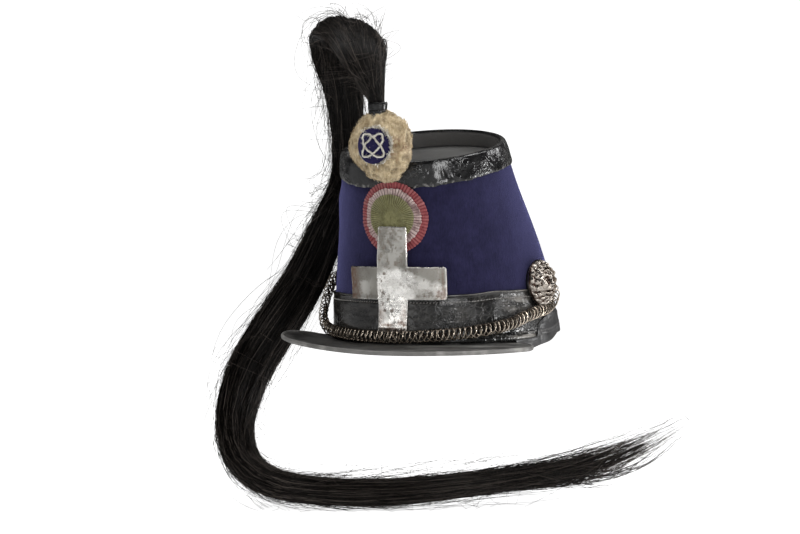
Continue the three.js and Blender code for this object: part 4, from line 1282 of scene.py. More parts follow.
# %% Cross: laid on the front
PLATE, ASKEW, SHIFT, CROSS_OFF = 1.2, 0.048, -0.6, 2.6
LAYERS, LAYER_THICK, LAYER_APART = 3, 1.2, 0.5
FLAT_MIDDLE, CREASE_LEFT, CREASE_RIGHT, WALL_CURVE = 4.0, -inner_half, 20.0, 66.0
eased = BEVEL * (1 - smoothstep(from_edge, -0.01, BEVEL))
over_cockade = LAYERS * (LAYER_THICK + LAYER_APART) + 2 * GAP
base_out = CROSS_OFF + (over_cockade - CROSS_OFF) * smoothstep(flat_z, 34, 66)
base_out = base_out + 1.3 * (1 - smoothstep(flat_z, 6, 12))
flattened = (np.clip(flat_x, CREASE_LEFT, CREASE_RIGHT) - FLAT_MIDDLE) ** 2 / (2 * WALL_CURVE)
past_crease = np.maximum(CREASE_LEFT - flat_x, 0) / (half + CREASE_LEFT)
past_crease = past_crease + np.maximum(flat_x - CREASE_RIGHT, 0) / (half - CREASE_RIGHT)
base_out += flattened * (1 - past_crease * 0.9) * smoothstep(flat_z, 24, 34)
flat = xyz(flat_x, 0 * flat_x, flat_z)
warp = lumps(flat, 17, 20) * 0.22 + lumps(flat, 6, 21) * 0.05 + lumps(flat, 2.4, 22) * 0.014
warp = warp * smoothstep(from_edge, 0, 4)
curl = 0.35 * smoothstep(np.abs(flat_x), 33, 41)
narrowed = flat_x * (1 - 0.07 * smoothstep(flat_z, 60, 87)) * (1 - 0.04 * smoothstep(-flat_x, 12, 41))
leaning = narrowed + SHIFT + (flat_z - CROSS_LOW) * ASKEW
front_sheet = on_front(leaning, flat_z, base_out + PLATE + warp - eased + curl)
back_sheet = on_front(leaning, flat_z, base_out + warp + curl)
points, faces, used = plate_of(front_sheet, back_sheet, keep)
print("cross steps out from", CROSS_OFF, "to", round(over_cockade, 1), "mm")

# %% [markdown]
# The cross was silvered. The silvering has gone brown at its left tip, its foot and its lower right
# corner. The left, right and upper arms are grey: this is greyed silver, and on the left and right arms,
# which turn away from the lamps past the bends, it is also painted shade. A narrow streak on the right arm
# is left bright as a painted highlight, with a thin painted shadow line beside it. It stays bright in the
# middle and along the rim, where it was polished. Noise makes the borders ragged, and both marks end up
# between 0 and 1.

# %% Cross: its tarnish
ragged, mottled = lumps(flat, 5, 23) * 0.3, lumps(flat, 1.6, 24)
worn_rim = 1 - smoothstep(from_edge, 0.3, 1.0)
left_end = 1 - smoothstep(flat_x + ragged * 4, -38, -27)
low_sides = smoothstep(np.abs(flat_x) + ragged * 6, 5, 10) * (1 - smoothstep(flat_z, 24, 32)) * 0.55
low_tip = (1 - smoothstep(flat_z + ragged * 4 - (flat_x > 5) * 3, 13, 17)) * 0.8
hem = blob(0 * flat_z, flat_z, 0, 12.4, 1, 0.7)
low_corner = smoothstep(flat_x + mottled, 32, 36) * (1 - smoothstep(flat_z + ragged * 6, 38, 43)) * 0.6
tone = left_end * 0.9 + np.maximum(low_sides, low_tip) + low_corner
tone = tone * (0.85 + 0.5 * mottled) - hem * 0.7
# painted shade: a thin dark line beside the bright streak on the right arm
tone = tone + 0.8 * blob(flat_x, flat_z, 38.4, 48, 0.7, 8)
tone = np.clip(tone * (1 - 0.5 * worn_rim * (flat_x > -24)), 0, 1)
# the left and right arms past the bends: greyed silver and painted shade
left_arm = 1 - smoothstep(flat_x, CREASE_LEFT - 0.8, CREASE_LEFT + 0.2)
# the right arm is left undulled in a narrow streak near x 35, which is a painted highlight
right_arm = smoothstep(flat_x + ragged * 9, 13, 20) * (0.55 - 0.5 * blob(flat_x, flat_z, 35, 50, 3.0, 14))
upper_arm = smoothstep(flat_z + ragged * 10 + np.abs(flat_x) * 0.25, 53, 59)
slanting = xyz(flat_x * 1.3 + flat_z * 0.4, 0 * flat_x, flat_z * 0.7)
flecked = smoothstep(lumps(slanting, 1.5, 54), 0.3, 0.55)
flecked = flecked * smoothstep(lumps(flat, 8, 63), -0.4, 0.2) * 0.95
tone = np.clip(tone + flecked * 0.35, 0, 1)
faded_and_shade = left_arm * (1.0 - 0.3 * blob(flat_x, flat_z, -26, 50, 7, 50)) + right_arm + upper_arm * 0.8
faded_and_shade = np.clip((faded_and_shade + flecked) * (1 - 0.8 * worn_rim), 0, 1)
make("cross_skin", points, faces, plate_metal, "cross_plate",
     tone=np.tile(tone.ravel(), 2)[used], dull=np.tile(faded_and_shade.ravel(), 2)[used])

# %% [markdown]
# ## The cockade
# Three strips of ribbon are pleated into discs, red under white under green, and stitched at the
# middle. Each disc here is a wheel of points whose height rises and falls once for every pleat.
# Pleats spread towards the rim, so their depth grows from nothing at the middle. The white rim is frayed,
# so its outline is uneven. The valleys between the pleats are painted dark as shade, and the white is also
# darker in broad patches, more on one side. The back of each disc needs few points, so it keeps only every
# fifth row.

# %% Cockade
COCKADE_X, COCKADE_Z, PLEAT_ROWS, PLEAT_POINTS = 1.6, 94.0, 16, 8
COCKADE_LAYERS = [
    # node, radius, ribbon, pleats, fraying of the rim
    ("cockade_red", 27.0, red_ribbon, 66, 0.5),
    ("cockade_white", 22.0, white_ribbon, 60, 1.5),
    ("cockade_green", 17.5, green_ribbon, 58, 0.4),
]
back_rows = slice(None, None, -5)
share = np.linspace(0.02, 1, PLEAT_ROWS)[:, None]
for layer, (name, radius, finish, pleats, fray) in enumerate(COCKADE_LAYERS):
    columns = pleats * PLEAT_POINTS
    angle = turns(columns)[None, :]
    drift = lumps(xyz(np.cos(angle) * 3, np.sin(angle) * 3, 0 * angle + layer), 0.7, 25) * 0.9
    phase = angle * pleats / 2 + drift
    ridge = np.abs(np.sin(phase)) ** 0.7
    each = np.floor(phase / np.pi)
    uneven = lumps(xyz(each * 1.37, 0 * each, 0 * each + layer), 1.0, 26)
    edge_wave = (uneven * fray + (1 - ridge) * -0.5) * smoothstep(share, 0.75, 1.0)
    reach = radius * share + edge_wave
    depth = smoothstep(share, 0.05, 0.6) * (0.55 if layer else 0.5)
    lift = LAYER_THICK + (ridge - 1) * depth * (1 + 0.4 * uneven)
    flat_x, flat_z = COCKADE_X + reach * np.cos(angle), COCKADE_Z + reach * np.sin(angle)
    flat = xyz(flat_x, 0 * flat_x, flat_z)
    warp, patches = lumps(flat, 9, 27) * 0.25, lumps(flat, 4, 64)
    floor_out = 2 * GAP + layer * (LAYER_THICK + LAYER_APART)
    floor_out = floor_out + 2.3 * smoothstep(flat_z, COCKADE_Z, COCKADE_Z + 18)
    top_face = on_front(flat_x, flat_z, floor_out + lift + warp)
    back_face = on_front(flat_x, flat_z, floor_out + warp * 0.5)[back_rows]
    worn = smoothstep(ridge, 0.8, 1) * 0.3 + 0.25 * uneven + 0.35 * patches
    worn = np.clip(worn, 0, 1) * (0.3 + 0.7 * smoothstep(share, 0.6, 1))
    # painted shade: darker in the valleys between the pleats
    fold = (1 - smoothstep(ridge, 0.1, 0.75)) * smoothstep(share, 0.12, 0.4)
    fold = np.clip(fold * (0.8 + 0.5 * uneven) * (1.15 if layer else 0.8), 0, 0.95)
    if name == "cockade_white":
        fold = np.maximum(fold, smoothstep(patches + 0.5 * np.cos(angle), 0.45, 0.9) * 0.6)
    worn, fold = (np.concatenate([values, values[back_rows] * 0]) for values in (worn, fold))
    loop = np.concatenate([top_face, back_face])
    make(name + "_pleats", loop, grid(len(loop), columns, True, True), finish, name,
         sharp=70, worn=worn, fold=fold)

# %% [markdown]
# ## The pompom
# A pompom is cut wool tied tight, and old wool mats into clumps. A displaced cushion makes the body.
# Thousands of short curved hairs, each a closed three-sided tube, stand out from it and break its outline.
# The wearer's left of it is stained brown, which both finishes read from one mark. The valleys between the
# clumps are painted dark as shade.

# %% Pompom body
POMPOM_RADIUS, POMPOM_WIDE, POMPOM_DEEP = 26.0, 24.0, 13.5
POMPOM_SHAPE = np.array([POMPOM_WIDE, POMPOM_DEEP, POMPOM_RADIUS])
POMPOM_AT = np.array([-0.3, -124.7, 147.3])


def pompom_skin(direction, grow=0.0):
    """Points on the matted wool for unit directions, with the clumps pushed in and out."""
    even = direction * POMPOM_SHAPE
    clump = lumps(even, 9, 28) * 1.0 + knots_of_wool(even) * 1.7 + lumps(even, 1.9, 30) * 0.5
    clump = clump + 2.4 * blob(direction[..., 0], direction[..., 2], 0.4, -0.92, 0.25, 0.25)
    clump = clump - 3.0 * blob(direction[..., 0], direction[..., 2], -0.55, -0.8, 0.4, 0.4)
    size = 1 + (clump - 1.2 + grow) / POMPOM_RADIUS
    return even * size[..., None] + POMPOM_AT


def knots_of_wool(even):
    """Round clumps with sharp valleys between them, from 0 in a valley to 1 on a clump."""
    return 1 - np.abs(1 - 2 * smoothstep(lumps(even, 4.2, 29), -0.75, 0.75)) ** 1.5


def clump_shade_at(points):
    """How deep among the clumps a point lies, which sets how much shade is painted there."""
    even = points - POMPOM_AT
    return 0.62 * (1 - smoothstep(knots_of_wool(even), 0.1, 0.75)) * (0.7 + 0.5 * lumps(even, 6, 65))


def stain_at(points):
    """How brown the wool is: a blotted stain on the wearer's left, and a few blots elsewhere."""
    near = points - POMPOM_AT
    spot = blob(near[..., 0] + lumps(points, 7, 31) * 3, near[..., 2], 15.5, -1.5, 6.5, 7.5)
    blots = smoothstep(lumps(points, 1.3, 32) + 0.4 * lumps(points, 3.6, 66), 0.0, 0.5)
    return np.clip(spot * (0.15 + 0.85 * blots) + 0.12 * blots, 0, 1)


rows, columns = 60, 120
polar = (np.arange(rows) + 0.5)[:, None] * np.pi / rows
turn = turns(columns)[None, :]
ball = xyz(np.sin(polar) * np.cos(turn), np.sin(polar) * np.sin(turn), np.cos(polar))
points = pompom_skin(ball)
body = make("pompom_body", points, tube_faces(rows, columns), wool, "pompom_ball",
            stain=stain_at(points), deep=clump_shade_at(points))

# %% [markdown]
# Each fibre is rooted just under the surface, arches outwards and lies over with its neighbours.
# Cutting leaves fibres of uneven length, and a little scatter keeps them from looking combed.

# %% Pompom fibres
FIBRES, FIBRE_STEPS = 3700, 4
rng = np.random.RandomState(5)
direction = unit(rng.normal(size=(FIBRES, 3)))
root = pompom_skin(direction, -0.5)
outward = unit((root - POMPOM_AT) / POMPOM_SHAPE ** 2)
whirl = xyz(*(lumps(root, 6, seed) for seed in (33, 34, 35)))
lie = unit(np.cross(outward, whirl + rng.normal(size=whirl.shape) * 0.35))
length = rng.uniform(2.0, 4.8, FIBRES)[:, None, None]
t = np.linspace(0, 1, FIBRE_STEPS)[None, :, None]
arch = rng.uniform(0.5, 1.4, FIBRES)[:, None, None]
paths = root[:, None] + outward[:, None] * (arch * np.sin(t * 2.3)) + lie[:, None] * t * length
paths += rng.normal(size=paths.shape) * 0.2 * t
thickness = rng.uniform(0.12, 0.26, FIBRES)[:, None] * (1 - 0.7 * t[..., 0] ** 2)
points, faces = tubes(paths, thickness, 3)
make("pompom_fibres", points, faces, wool, None, stain=stain_at(points), deep=clump_shade_at(points) * 0.8)

# %% [markdown]
# ## The patch and its silver work
# A round of blue cloth is stitched to the middle of the pompom, edged with silver cord and worked
# with a knot of two crossed loops. Silver cord is wire wound on thread: three strands twisted
# round one another, which is how both are made here. Where the edging frayed, loose ends of wire
# stick out.

# %% Patch
PATCH_RADIUS, PATCH_THICK = 13.3, 1.0


def on_pompom(x, z, lift):
    """Points on the front of the pompom for a flat drawing, lift millimetres above the wool."""
    across = np.hypot(x, z)
    out = POMPOM_DEEP * np.sqrt(np.maximum(0, 1 - (across / POMPOM_RADIUS) ** 2)) + 2 * GAP + lift
    return xyz(POMPOM_AT[0] + x, POMPOM_AT[1] - out, POMPOM_AT[2] + z)


rows, columns = 16, 110
share, angle = np.linspace(0.02, 1, rows)[:, None], turns(columns)[None, :]
reach = PATCH_RADIUS * share * (1 + 0.02 * np.sin(angle * 3 + 1))
x, z = reach * np.cos(angle), reach * np.sin(angle)
dome = lumps(xyz(x, 0 * x, z), 7, 36) * 0.25 - 0.35 * smoothstep(share, 0.9, 1.0)
loop = np.concatenate([on_pompom(x, z, PATCH_THICK + dome), on_pompom(x, z, 0 * x)[::-1]])
make("patch_cloth_round", loop, grid(len(loop), columns, True, True), patch_cloth, "pompom_patch")

# %% Silver cord
OUT_OF_POMPOM = np.array([0, -1.0, 0])


def cord_paths(x, z, lift, radius, twists):
    """Three strands twisted round a closed line on the pompom: paths of shape (3, steps, 3)."""
    line = on_pompom(x, z, lift)
    along = unit(np.gradient(line, axis=0))
    outward = unit(OUT_OF_POMPOM - along * (along @ OUT_OF_POMPOM)[:, None])
    side = np.cross(along, outward)
    twist = turns(3)[:, None] + np.linspace(0, twists * 2 * np.pi, len(line))
    return line + radius * (np.cos(twist)[..., None] * outward + np.sin(twist)[..., None] * side)


def wires(paths, radius, sides):
    """Tubes of one radius along many paths."""
    return tubes(paths, np.full(paths.shape[:2], radius), sides)


turn = np.linspace(0, 2 * np.pi, 420)
print("cord finish:", wire_metal.name)

# %% Silver edging, sunk into the wool on one side, and its frayed ends
FRAYS = 170
edging_reach = PATCH_RADIUS + 0.5 + 0.35 * np.sin(turn * 5 + 1) + 0.3 * np.sin(turn * 11)
sunk = 1 - smoothstep(np.cos(turn - math.radians(25)), -0.1, 0.4)
sunk = 2.2 * sunk + 0.5 * lumps(xyz(np.cos(turn) * 9, np.sin(turn) * 9, 0 * turn), 4, 55)
edging = cord_paths(edging_reach * np.cos(turn), edging_reach * np.sin(turn), 1.0 - sunk, 0.28, 50)
rng = np.random.RandomState(8)
angle = rng.normal(0.35, 0.75, (FRAYS, 1))
start = PATCH_RADIUS - 0.2 + rng.normal(size=(FRAYS, 1)) * 0.6
bend = rng.uniform(-1.6, 1.6, (FRAYS, 1))
reach = rng.uniform(1.0, 3.2, (FRAYS, 1))
t = np.linspace(0, 1, 5)[None, :]
ray_x = start * np.cos(angle) + t * reach * np.cos(angle + bend * t)
ray_z = start * np.sin(angle) + t * reach * np.sin(angle + bend * t)
ray_lift = 1.3 + 1.4 * np.sin(t * np.pi * 0.8) * rng.uniform(0.2, 1, (FRAYS, 1))
points, faces = merged([wires(edging, 0.22, 5), wires(on_pompom(ray_x, ray_z, ray_lift), 0.16, 4)])
make("silver_edging", points, faces, wire_metal, "pompom_braid")

# %% Silver knot: two long loops crossed, with a few loose ends on each
KNOT_LONG, KNOT_SHORT, LOOSE_ENDS = 10.665, 4.898, 70
parts = []
for lean in (math.pi / 4, -math.pi / 4):
    loop_x, loop_z = KNOT_LONG * np.cos(turn), KNOT_SHORT * np.sin(turn)
    x = loop_x * math.cos(lean) - loop_z * math.sin(lean)
    z = loop_x * math.sin(lean) + loop_z * math.cos(lean)
    over = 0.35 * np.cos(turn * 2 + (0 if lean > 0 else np.pi))
    along_loop = xyz(x, 0 * x, z)
    x, z = x + lumps(along_loop, 2.2, 56) * 0.6, z + lumps(along_loop, 2.2, 57) * 0.6
    cord = cord_paths(x, z, PATCH_THICK + 1.2 + over, 0.42, 24)
    roots = cord[0][rng.randint(0, len(turn), LOOSE_ENDS)]
    away = rng.normal(size=(LOOSE_ENDS, 1, 3)) * [1.1, 0.3, 1.1]
    loose = roots[:, None] + away * np.linspace(0, 1, 4)[None, :, None]
    parts += [wires(cord, 0.38, 5), wires(loose, 0.13, 3)]
points, faces = merged(parts)
make("silver_knot", points, faces, wire_metal, "pompom_knot")

# %% [markdown]
# ## The socket and its pin
# A pin pushed into the crown's edge carries the pompom, and a small leather cup on its end holds
# the roots of the plume. Both are profiles turned about an upright line.

# %% Socket and pin
SOCKET_AT = np.array([-2.6, -125.6])


def lathe(profile, centre, columns):
    """A closed profile of (radius, height) turned about an upright line."""
    angle = turns(columns)[None, :]
    radius = np.maximum(profile[:, :1], 0.02)
    points = xyz(centre[0] + radius * np.cos(angle), centre[1] + radius * np.sin(angle), profile[:, 1:])
    return points.reshape(-1, 3), grid(len(profile), columns, True, True)


cup = rounded([
    (0.02, 168), (5.5, 168), (6.4, 168.9), (6.8, 173.2), (6.5, 173.6), (6.9, 174.1), (7.3, 178.2),
    (6.9, 179.4), (6.4, 179.2), (5.2, 169.5), (0.02, 169.5),
], 0.3, 0.8)
points, faces = lathe(cup, SOCKET_AT, 60)
dents = lumps(points, 5, 58) * 0.35 + lumps(points * [1, 1, 0.4], 2, 59) * 0.15
points[:, :2] += (points[:, :2] - SOCKET_AT) / 6.5 * dents[:, None]
points[:, 2] += smoothstep(points[:, 2], 174, 179) * lumps(points * [1, 1, 0], 3, 67) * 0.9
make("socket_cup", points, faces, socket_leather, "plume_socket")
pin = rounded([(0.02, 124), (1.1, 124), (1.5, 124.5), (1.5, 167.2), (1.1, 167.7), (0.02, 167.7)], 0.2, 2.0)
points, faces = lathe(pin, SOCKET_AT, 24)
make("socket_pin", points, faces, wire_metal, "plume_stem")

# %% [markdown]
# ## The horsehair
# The plume is a bundle of long horsehair. It rises from the socket, folds over, falls past the
# wearer's right side, swings out and trails below in a long curve. A table gives the middle of the
# bundle, its width and thickness, and how far one side of it sags where it folds. A curve through
# the table carries an across direction along with it, and `in_plume` turns a place in the bundle's
# round section into a point in space.

# %% The plume's middle line
PLUME_ROWS = np.array([
    # x, y, z, width, thickness, sag
    (-2.6, -125.6, 170.5, 9.4, 9.4, 0), (-2.8, -125.8, 180, 9.6, 9.6, 0), (-6.4, -126.4, 191, 18, 12, 0),
    (-13, -125, 208, 29, 14, 2), (-25, -111, 226, 40, 15, 8), (-42, -88, 236, 50, 16, 12),
    (-60, -62, 234, 50, 16, 12), (-73, -38, 216, 40, 16, 6), (-75, -25, 190, 27, 15, 0),
    (-76, -17, 160, 23, 14, 0), (-79, -11, 125, 23, 14, 0), (-86, -11, 104, 25, 15, 0),
    (-96, -12, 82, 28, 18, 0), (-113, -17, 43, 32, 21, 0), (-137, -30, 0, 35, 21, 0),
    (-150, -46, -32, 34, 21, 0), (-153, -63, -68, 29, 20, 0), (-142, -73, -96, 27, 20, 0),
    (-117, -75, -113, 24, 19, 0), (-80, -64, -119, 22, 18, 0), (-34, -40, -121, 22, 18, 0),
    (14, -9, -117, 20, 16, 0), (52, 22, -112, 18, 14, 0), (84, 51, -107, 16, 12, 0),
    (110, 81, -100, 13, 10, 0), (135, 110, -88, 9, 7, 0), (159, 136, -73, 3, 3, 0),
])
LEFT_LIFT = 1.2


def fair_curve(knots, at):
    """Points at fractional knot numbers on a fair curve through all the knots."""
    knots = np.vstack([2 * knots[0] - knots[1], knots, 2 * knots[-1] - knots[-2]])
    at = np.clip(at, 0, len(knots) - 3)
    index = np.minimum(np.floor(at).astype(int), len(knots) - 4)
    before, start, end, after = (knots[index + k] for k in range(4))
    gaps = [np.sqrt(np.linalg.norm(b - a, axis=-1))[..., None] for a, b in
            ((before, start), (start, end), (end, after))]
    enter = (start - before) / gaps[0] - (end - before) / (gaps[0] + gaps[1]) + (end - start) / gaps[1]
    leave = (end - start) / gaps[1] - (after - start) / (gaps[1] + gaps[2]) + (after - end) / gaps[2]
    enter, leave = enter * gaps[1], leave * gaps[1]
    t = (at - index)[..., None]
    return hermite(t, start, enter, end, leave)


LAST = len(PLUME_ROWS) - 1
station = np.linspace(0, LAST, LAST * 8 + 1)
middle = fair_curve(PLUME_ROWS[:, :3], station)
along = unit(np.gradient(middle, axis=0))
across, carried = [], np.array([0.8, 0.6, 0])
for direction in along:
    carried = unit(carried - direction * (carried @ direction))
    across.append(carried)
across = np.array(across)
upward = np.cross(across, along)


def in_plume(at, sideways, high):
    """Points at knot number at; sideways and high run from -1 to 1 across the bundle."""
    place, side, up = (xyz(*(np.interp(at, station, line[:, k]) for k in range(3)))
                       for line in (middle, across, upward))
    width, thickness, sag = (np.interp(at, np.arange(LAST + 1), PLUME_ROWS[:, k]) for k in (3, 4, 5))
    side_share = np.clip(sideways, -1, 1)
    drop = np.where(side_share > 0, side_share ** 2, LEFT_LIFT * side_share * (1 + side_share))
    place = place + side * (sideways * width / 2)[..., None] + up * (high * thickness / 2)[..., None]
    place[..., 2] -= sag * drop
    return place


plume_length = np.linalg.norm(np.diff(middle, axis=0), axis=1).sum()
print("plume length", round(float(plume_length)), "mm")

# %% [markdown]
# The inner hair is one grooved form, a little thinner than the bundle. Its grooves run the
# whole length and wander slowly, like combed strands, and it ends before the thin tip does. The
# hair that shows is laid over it strand by strand.

# %% Inner hair
rows, columns, INNER_END = 160, 100, LAST - 1.2
at, angle = np.broadcast_arrays(np.linspace(0.0, INNER_END, rows)[:, None], turns(columns)[None, :])
wander = 0.35 * np.sin(at * 0.5)
strand = xyz(np.cos(angle + wander) * 5, np.sin(angle + wander) * 5, at * 0.35)
groove = lumps(strand, 0.9, 40) * 0.07 + lumps(strand, 0.35, 41) * 0.06
size = 0.8 + groove * smoothstep(at, 0.3, 2.5)
size = size * (1 - 0.8 * smoothstep(at, LAST - 5, INNER_END))
points = in_plume(at, size * np.cos(angle), size * np.sin(angle))
shade = np.clip(0.3 + lumps(strand, 0.5, 42) * 0.5, 0, 1)
make("plume_inner_hair", points, tube_faces(rows, columns), horsehair, "plume", shade=shade * 0.7)

# %% [markdown]
# Each strand keeps its own place in the section and drifts slowly to either side. Some end early,
# which thins the bundle towards its tip. Three like groups keep every piece a reasonable size, and
# two more fill out the tail, where the locks open, and the fold.

# %% Laid strands


def shades(rng, count):
    """How brown each hair is: most are black, and about one in four is much paler."""
    pale = rng.uniform(0, 1, count) < 0.26
    return np.where(pale, rng.uniform(0.3, 0.85, count), rng.uniform(0.0, 0.14, count))[:, None]


def painted_light_along_plume(at):
    """Painted light along the plume: the hanging end is painted paler and the fall darker."""
    return read([(0, 0.55), (6, 0.62), (8, 0.35), (13, 0.6), (16, 1.3), (LAST, 1.7)], at)


LOCKS = 30


def strands(count, seed, first, last, steps, reach, loose, thick, splay=0.0):
    """Paths, radii and shades of hairs that follow the plume.

    loose is how far they stray, and splay how far their ends open. Hairs of a lock end together.
    """
    rng = np.random.RandomState(seed)
    start = rng.uniform(*first, count)[:, None]
    end = rng.uniform(*last, count)[:, None]
    share = np.linspace(0, 1, steps)[None, :]
    at = start + (end - start) * share
    angle = rng.uniform(0, 2 * np.pi, count)[:, None]
    radius = rng.uniform(*reach, count)[:, None]
    key = rng.uniform(0, 30, (count, 2))
    sway = lumps(xyz(at / 5, key[:, :1] + 0 * at, key[:, 1:] + 0 * at), 1.0, seed)
    lift = lumps(xyz(at / 4, key[:, 1:] + 0 * at, key[:, :1] + 0 * at), 1.0, seed + 1)
    free = smoothstep(at, 0.5, 3)
    lock = (angle / (2 * np.pi) * LOCKS).astype(int)
    lock_angle, lock_reach = rng.uniform(0, 2 * np.pi, LOCKS)[lock], rng.uniform(0.1, 1.0, LOCKS)[lock]
    gather = 0.7 * smoothstep(share, 0.35, 0.95) * (splay > 0)
    angle = angle * (1 - gather) + lock_angle * gather + sway * 0.8 * free
    radius = radius * (1 - gather) + lock_reach * gather * 1.2
    radius = radius + (lift * 0.12 + loose * np.abs(lift) ** 2 * smoothstep(share, 0.3, 1)) * free
    radius = radius * (1 + splay * smoothstep(at, LAST - 6, LAST) ** 1.5)
    paths = in_plume(at, radius * np.cos(angle), radius * np.sin(angle))
    taper = 1 - 0.7 * smoothstep(share, 0.75, 1.0)
    brown = shades(rng, count)
    radii = rng.uniform(*thick, count)[:, None] * taper * (1 + 0.25 * (brown > 0.25))
    return paths, radii, brown * painted_light_along_plume(at)


HAIR_SIDES = 3


def hair_piece(name, paths, radii, shade):
    """One piece of many hairs, each a closed tube of its own shade."""
    points, faces = tubes(paths, radii, HAIR_SIDES)
    shade = np.repeat(np.broadcast_to(shade, paths.shape[:2]).ravel(), HAIR_SIDES)
    make(name, points, faces, horsehair, sharp=120, shade=shade)


LONG = (0.0, 0.9), (LAST - 6, LAST - 1), 34, (0.84, 1.02), 0.12, (0.16, 0.36)
STRANDS = [
    # name, count, seed, first knots, last knots, steps, place in the section, straying, radius
    ("plume_strands_1", 300, 50, *LONG),
    ("plume_strands_2", 300, 51, *LONG),
    ("plume_strands_3", 300, 52, *LONG),
    ("plume_tail_strands", 340, 60, (17, 21), (LAST - 3.5, LAST), 17, (0.2, 1.1), 0.4, (0.12, 0.22), 2.6),
    ("plume_fold_strands", 380, 61, (0.2, 1.2), (7, 11), 20, (0.93, 1.05), 0.06, (0.14, 0.24)),
]
for name, *lie in STRANDS:
    hair_piece(name, *strands(*lie))

# %% [markdown]
# Stray hairs leave the bundle. Some bow out and come back, some swing away and end free, and a
# crowd of short ones frizzes its edges. A table of groups says where along the plume each group
# starts, how far it runs and how far it bows, in millimetres. A stray only reads as a hair where
# it stands against the backdrop, so most are rooted along the outline that the camera sees.

# %% Stray hairs
VIEW = np.array(towards)


def edge_of_plume(at, angle):
    """Points near the bundle's surface, and the way out there. Angles 0 and pi are its outline."""
    middle_line = in_plume(at, 0 * at, 0 * at)
    forward = np.gradient(middle_line, axis=1)
    side = unit(np.cross(forward, VIEW))
    up = unit(np.cross(side, forward))
    outward = side * np.cos(angle)[..., None] + up * np.sin(angle)[..., None]
    wide = in_plume(at, 0 * at + 1, 0 * at) - in_plume(at, 0 * at - 1, 0 * at)
    tall = in_plume(at, 0 * at, 0 * at + 1) - in_plume(at, 0 * at, 0 * at - 1)
    reach = np.hypot((wide * outward).sum(axis=-1), (tall * outward).sum(axis=-1)) / 2
    return middle_line + outward * (reach * 0.85)[..., None], outward


def strays(count, seed, first, run, steps, away, thick, returns, spread):
    """Paths, radii and shades of hairs that leave the plume; returns is the share that come back."""
    rng = np.random.RandomState(seed)
    start = rng.uniform(*first, count)[:, None]
    share = np.linspace(0, 1, steps)[None, :]
    length = rng.uniform(*run, count)[:, None]
    angle = rng.choice([0.0, np.pi], count)[:, None] + rng.normal(0, spread, count)[:, None]
    angle = angle + rng.uniform(-0.4, 0.4, count)[:, None] * share
    back = (rng.uniform(0, 1, count) < returns)[:, None]
    bow = np.where(back, np.sin(share * np.pi) ** 1.2, share ** rng.uniform(1.2, 2.2, count)[:, None])
    bow = bow * rng.uniform(*away, count)[:, None]
    waves = np.sin(share * 2 * np.pi * rng.uniform(0.4, 1.1, count)[:, None])
    at = start + length * (share + rng.uniform(-0.25, 0.35, count)[:, None] * waves)
    roots, outward = edge_of_plume(np.clip(at, 0.3, LAST), angle)
    paths = soft_box(roots + outward * bow[..., None])
    radii = rng.uniform(*thick, count)[:, None] * (1 - 0.45 * share)
    return paths, radii, np.clip(rng.normal(0.5, 0.3, count), 0, 1)[:, None]


def soft_box(paths, spare=14.0, ease=12.0):
    """Keeps paths within the solid model's box and a little more, easing them rather than cutting."""
    low, high = np.array(cad_box[0]) / MM - spare, np.array(cad_box[1]) / MM + spare
    over, under = np.maximum(paths - (high - ease), 0), np.maximum(low + ease - paths, 0)
    return paths - over + ease * np.tanh(over / ease) + under - ease * np.tanh(under / ease)


STRAYS = [
    # name, count, seed, first knots, run in knots, steps, bow, radius, share that come back, spread
    ("plume_strays", 150, 70, (7, 20), (1.2, 4.0), 24, (5, 24), (0.12, 0.19), 0.5, 0.6),
    ("plume_fold_strays", 170, 72, (1.5, 7.5), (0.2, 1.1), 12, (3, 20), (0.12, 0.2), 0.05, 0.9),
    ("plume_fall_strays", 230, 74, (6, 19), (1.0, 3.0), 16, (1, 8), (0.12, 0.18), 0.85, 0.3),
    ("plume_loose_strays", 130, 76, (5.5, 17), (1.0, 3.5), 14, (4, 18), (0.12, 0.18), 0.4, 0.4),
    ("plume_wisps", 80, 78, (5.0, 12), (0.8, 2.6), 14, (6, 26), (0.12, 0.19), 0.35, 0.25),
    ("plume_edge_strays", 520, 73, (8, 23), (0.8, 3.0), 12, (0.8, 5), (0.11, 0.18), 0.8, 0.5),
    ("plume_short_strays", 420, 71, (1, 25), (0.12, 0.7), 7, (1.5, 8), (0.11, 0.16), 0.05, 0.6),
    ("plume_tail_strays", 150, 75, (17, 23), (1.5, 4.5), 16, (4, 20), (0.12, 0.18), 0.3, 0.9),
]
for name, *lie in STRAYS:
    hair_piece(name, *strays(*lie))

# %% [markdown]
# ## The lion bosses
# Two cast masks hold the ends of the chain. A mask is a height over a disc: a domed face, then
# brows, eyes, nose, muzzle and mouth added or cut as soft bumps, and two tiers of curling locks
# for the mane.

# %% Lion mask: its relief
BOSS_RADIUS, MASK_SCALE, MASK_TALLER = 16.0, 1.03, 1.08


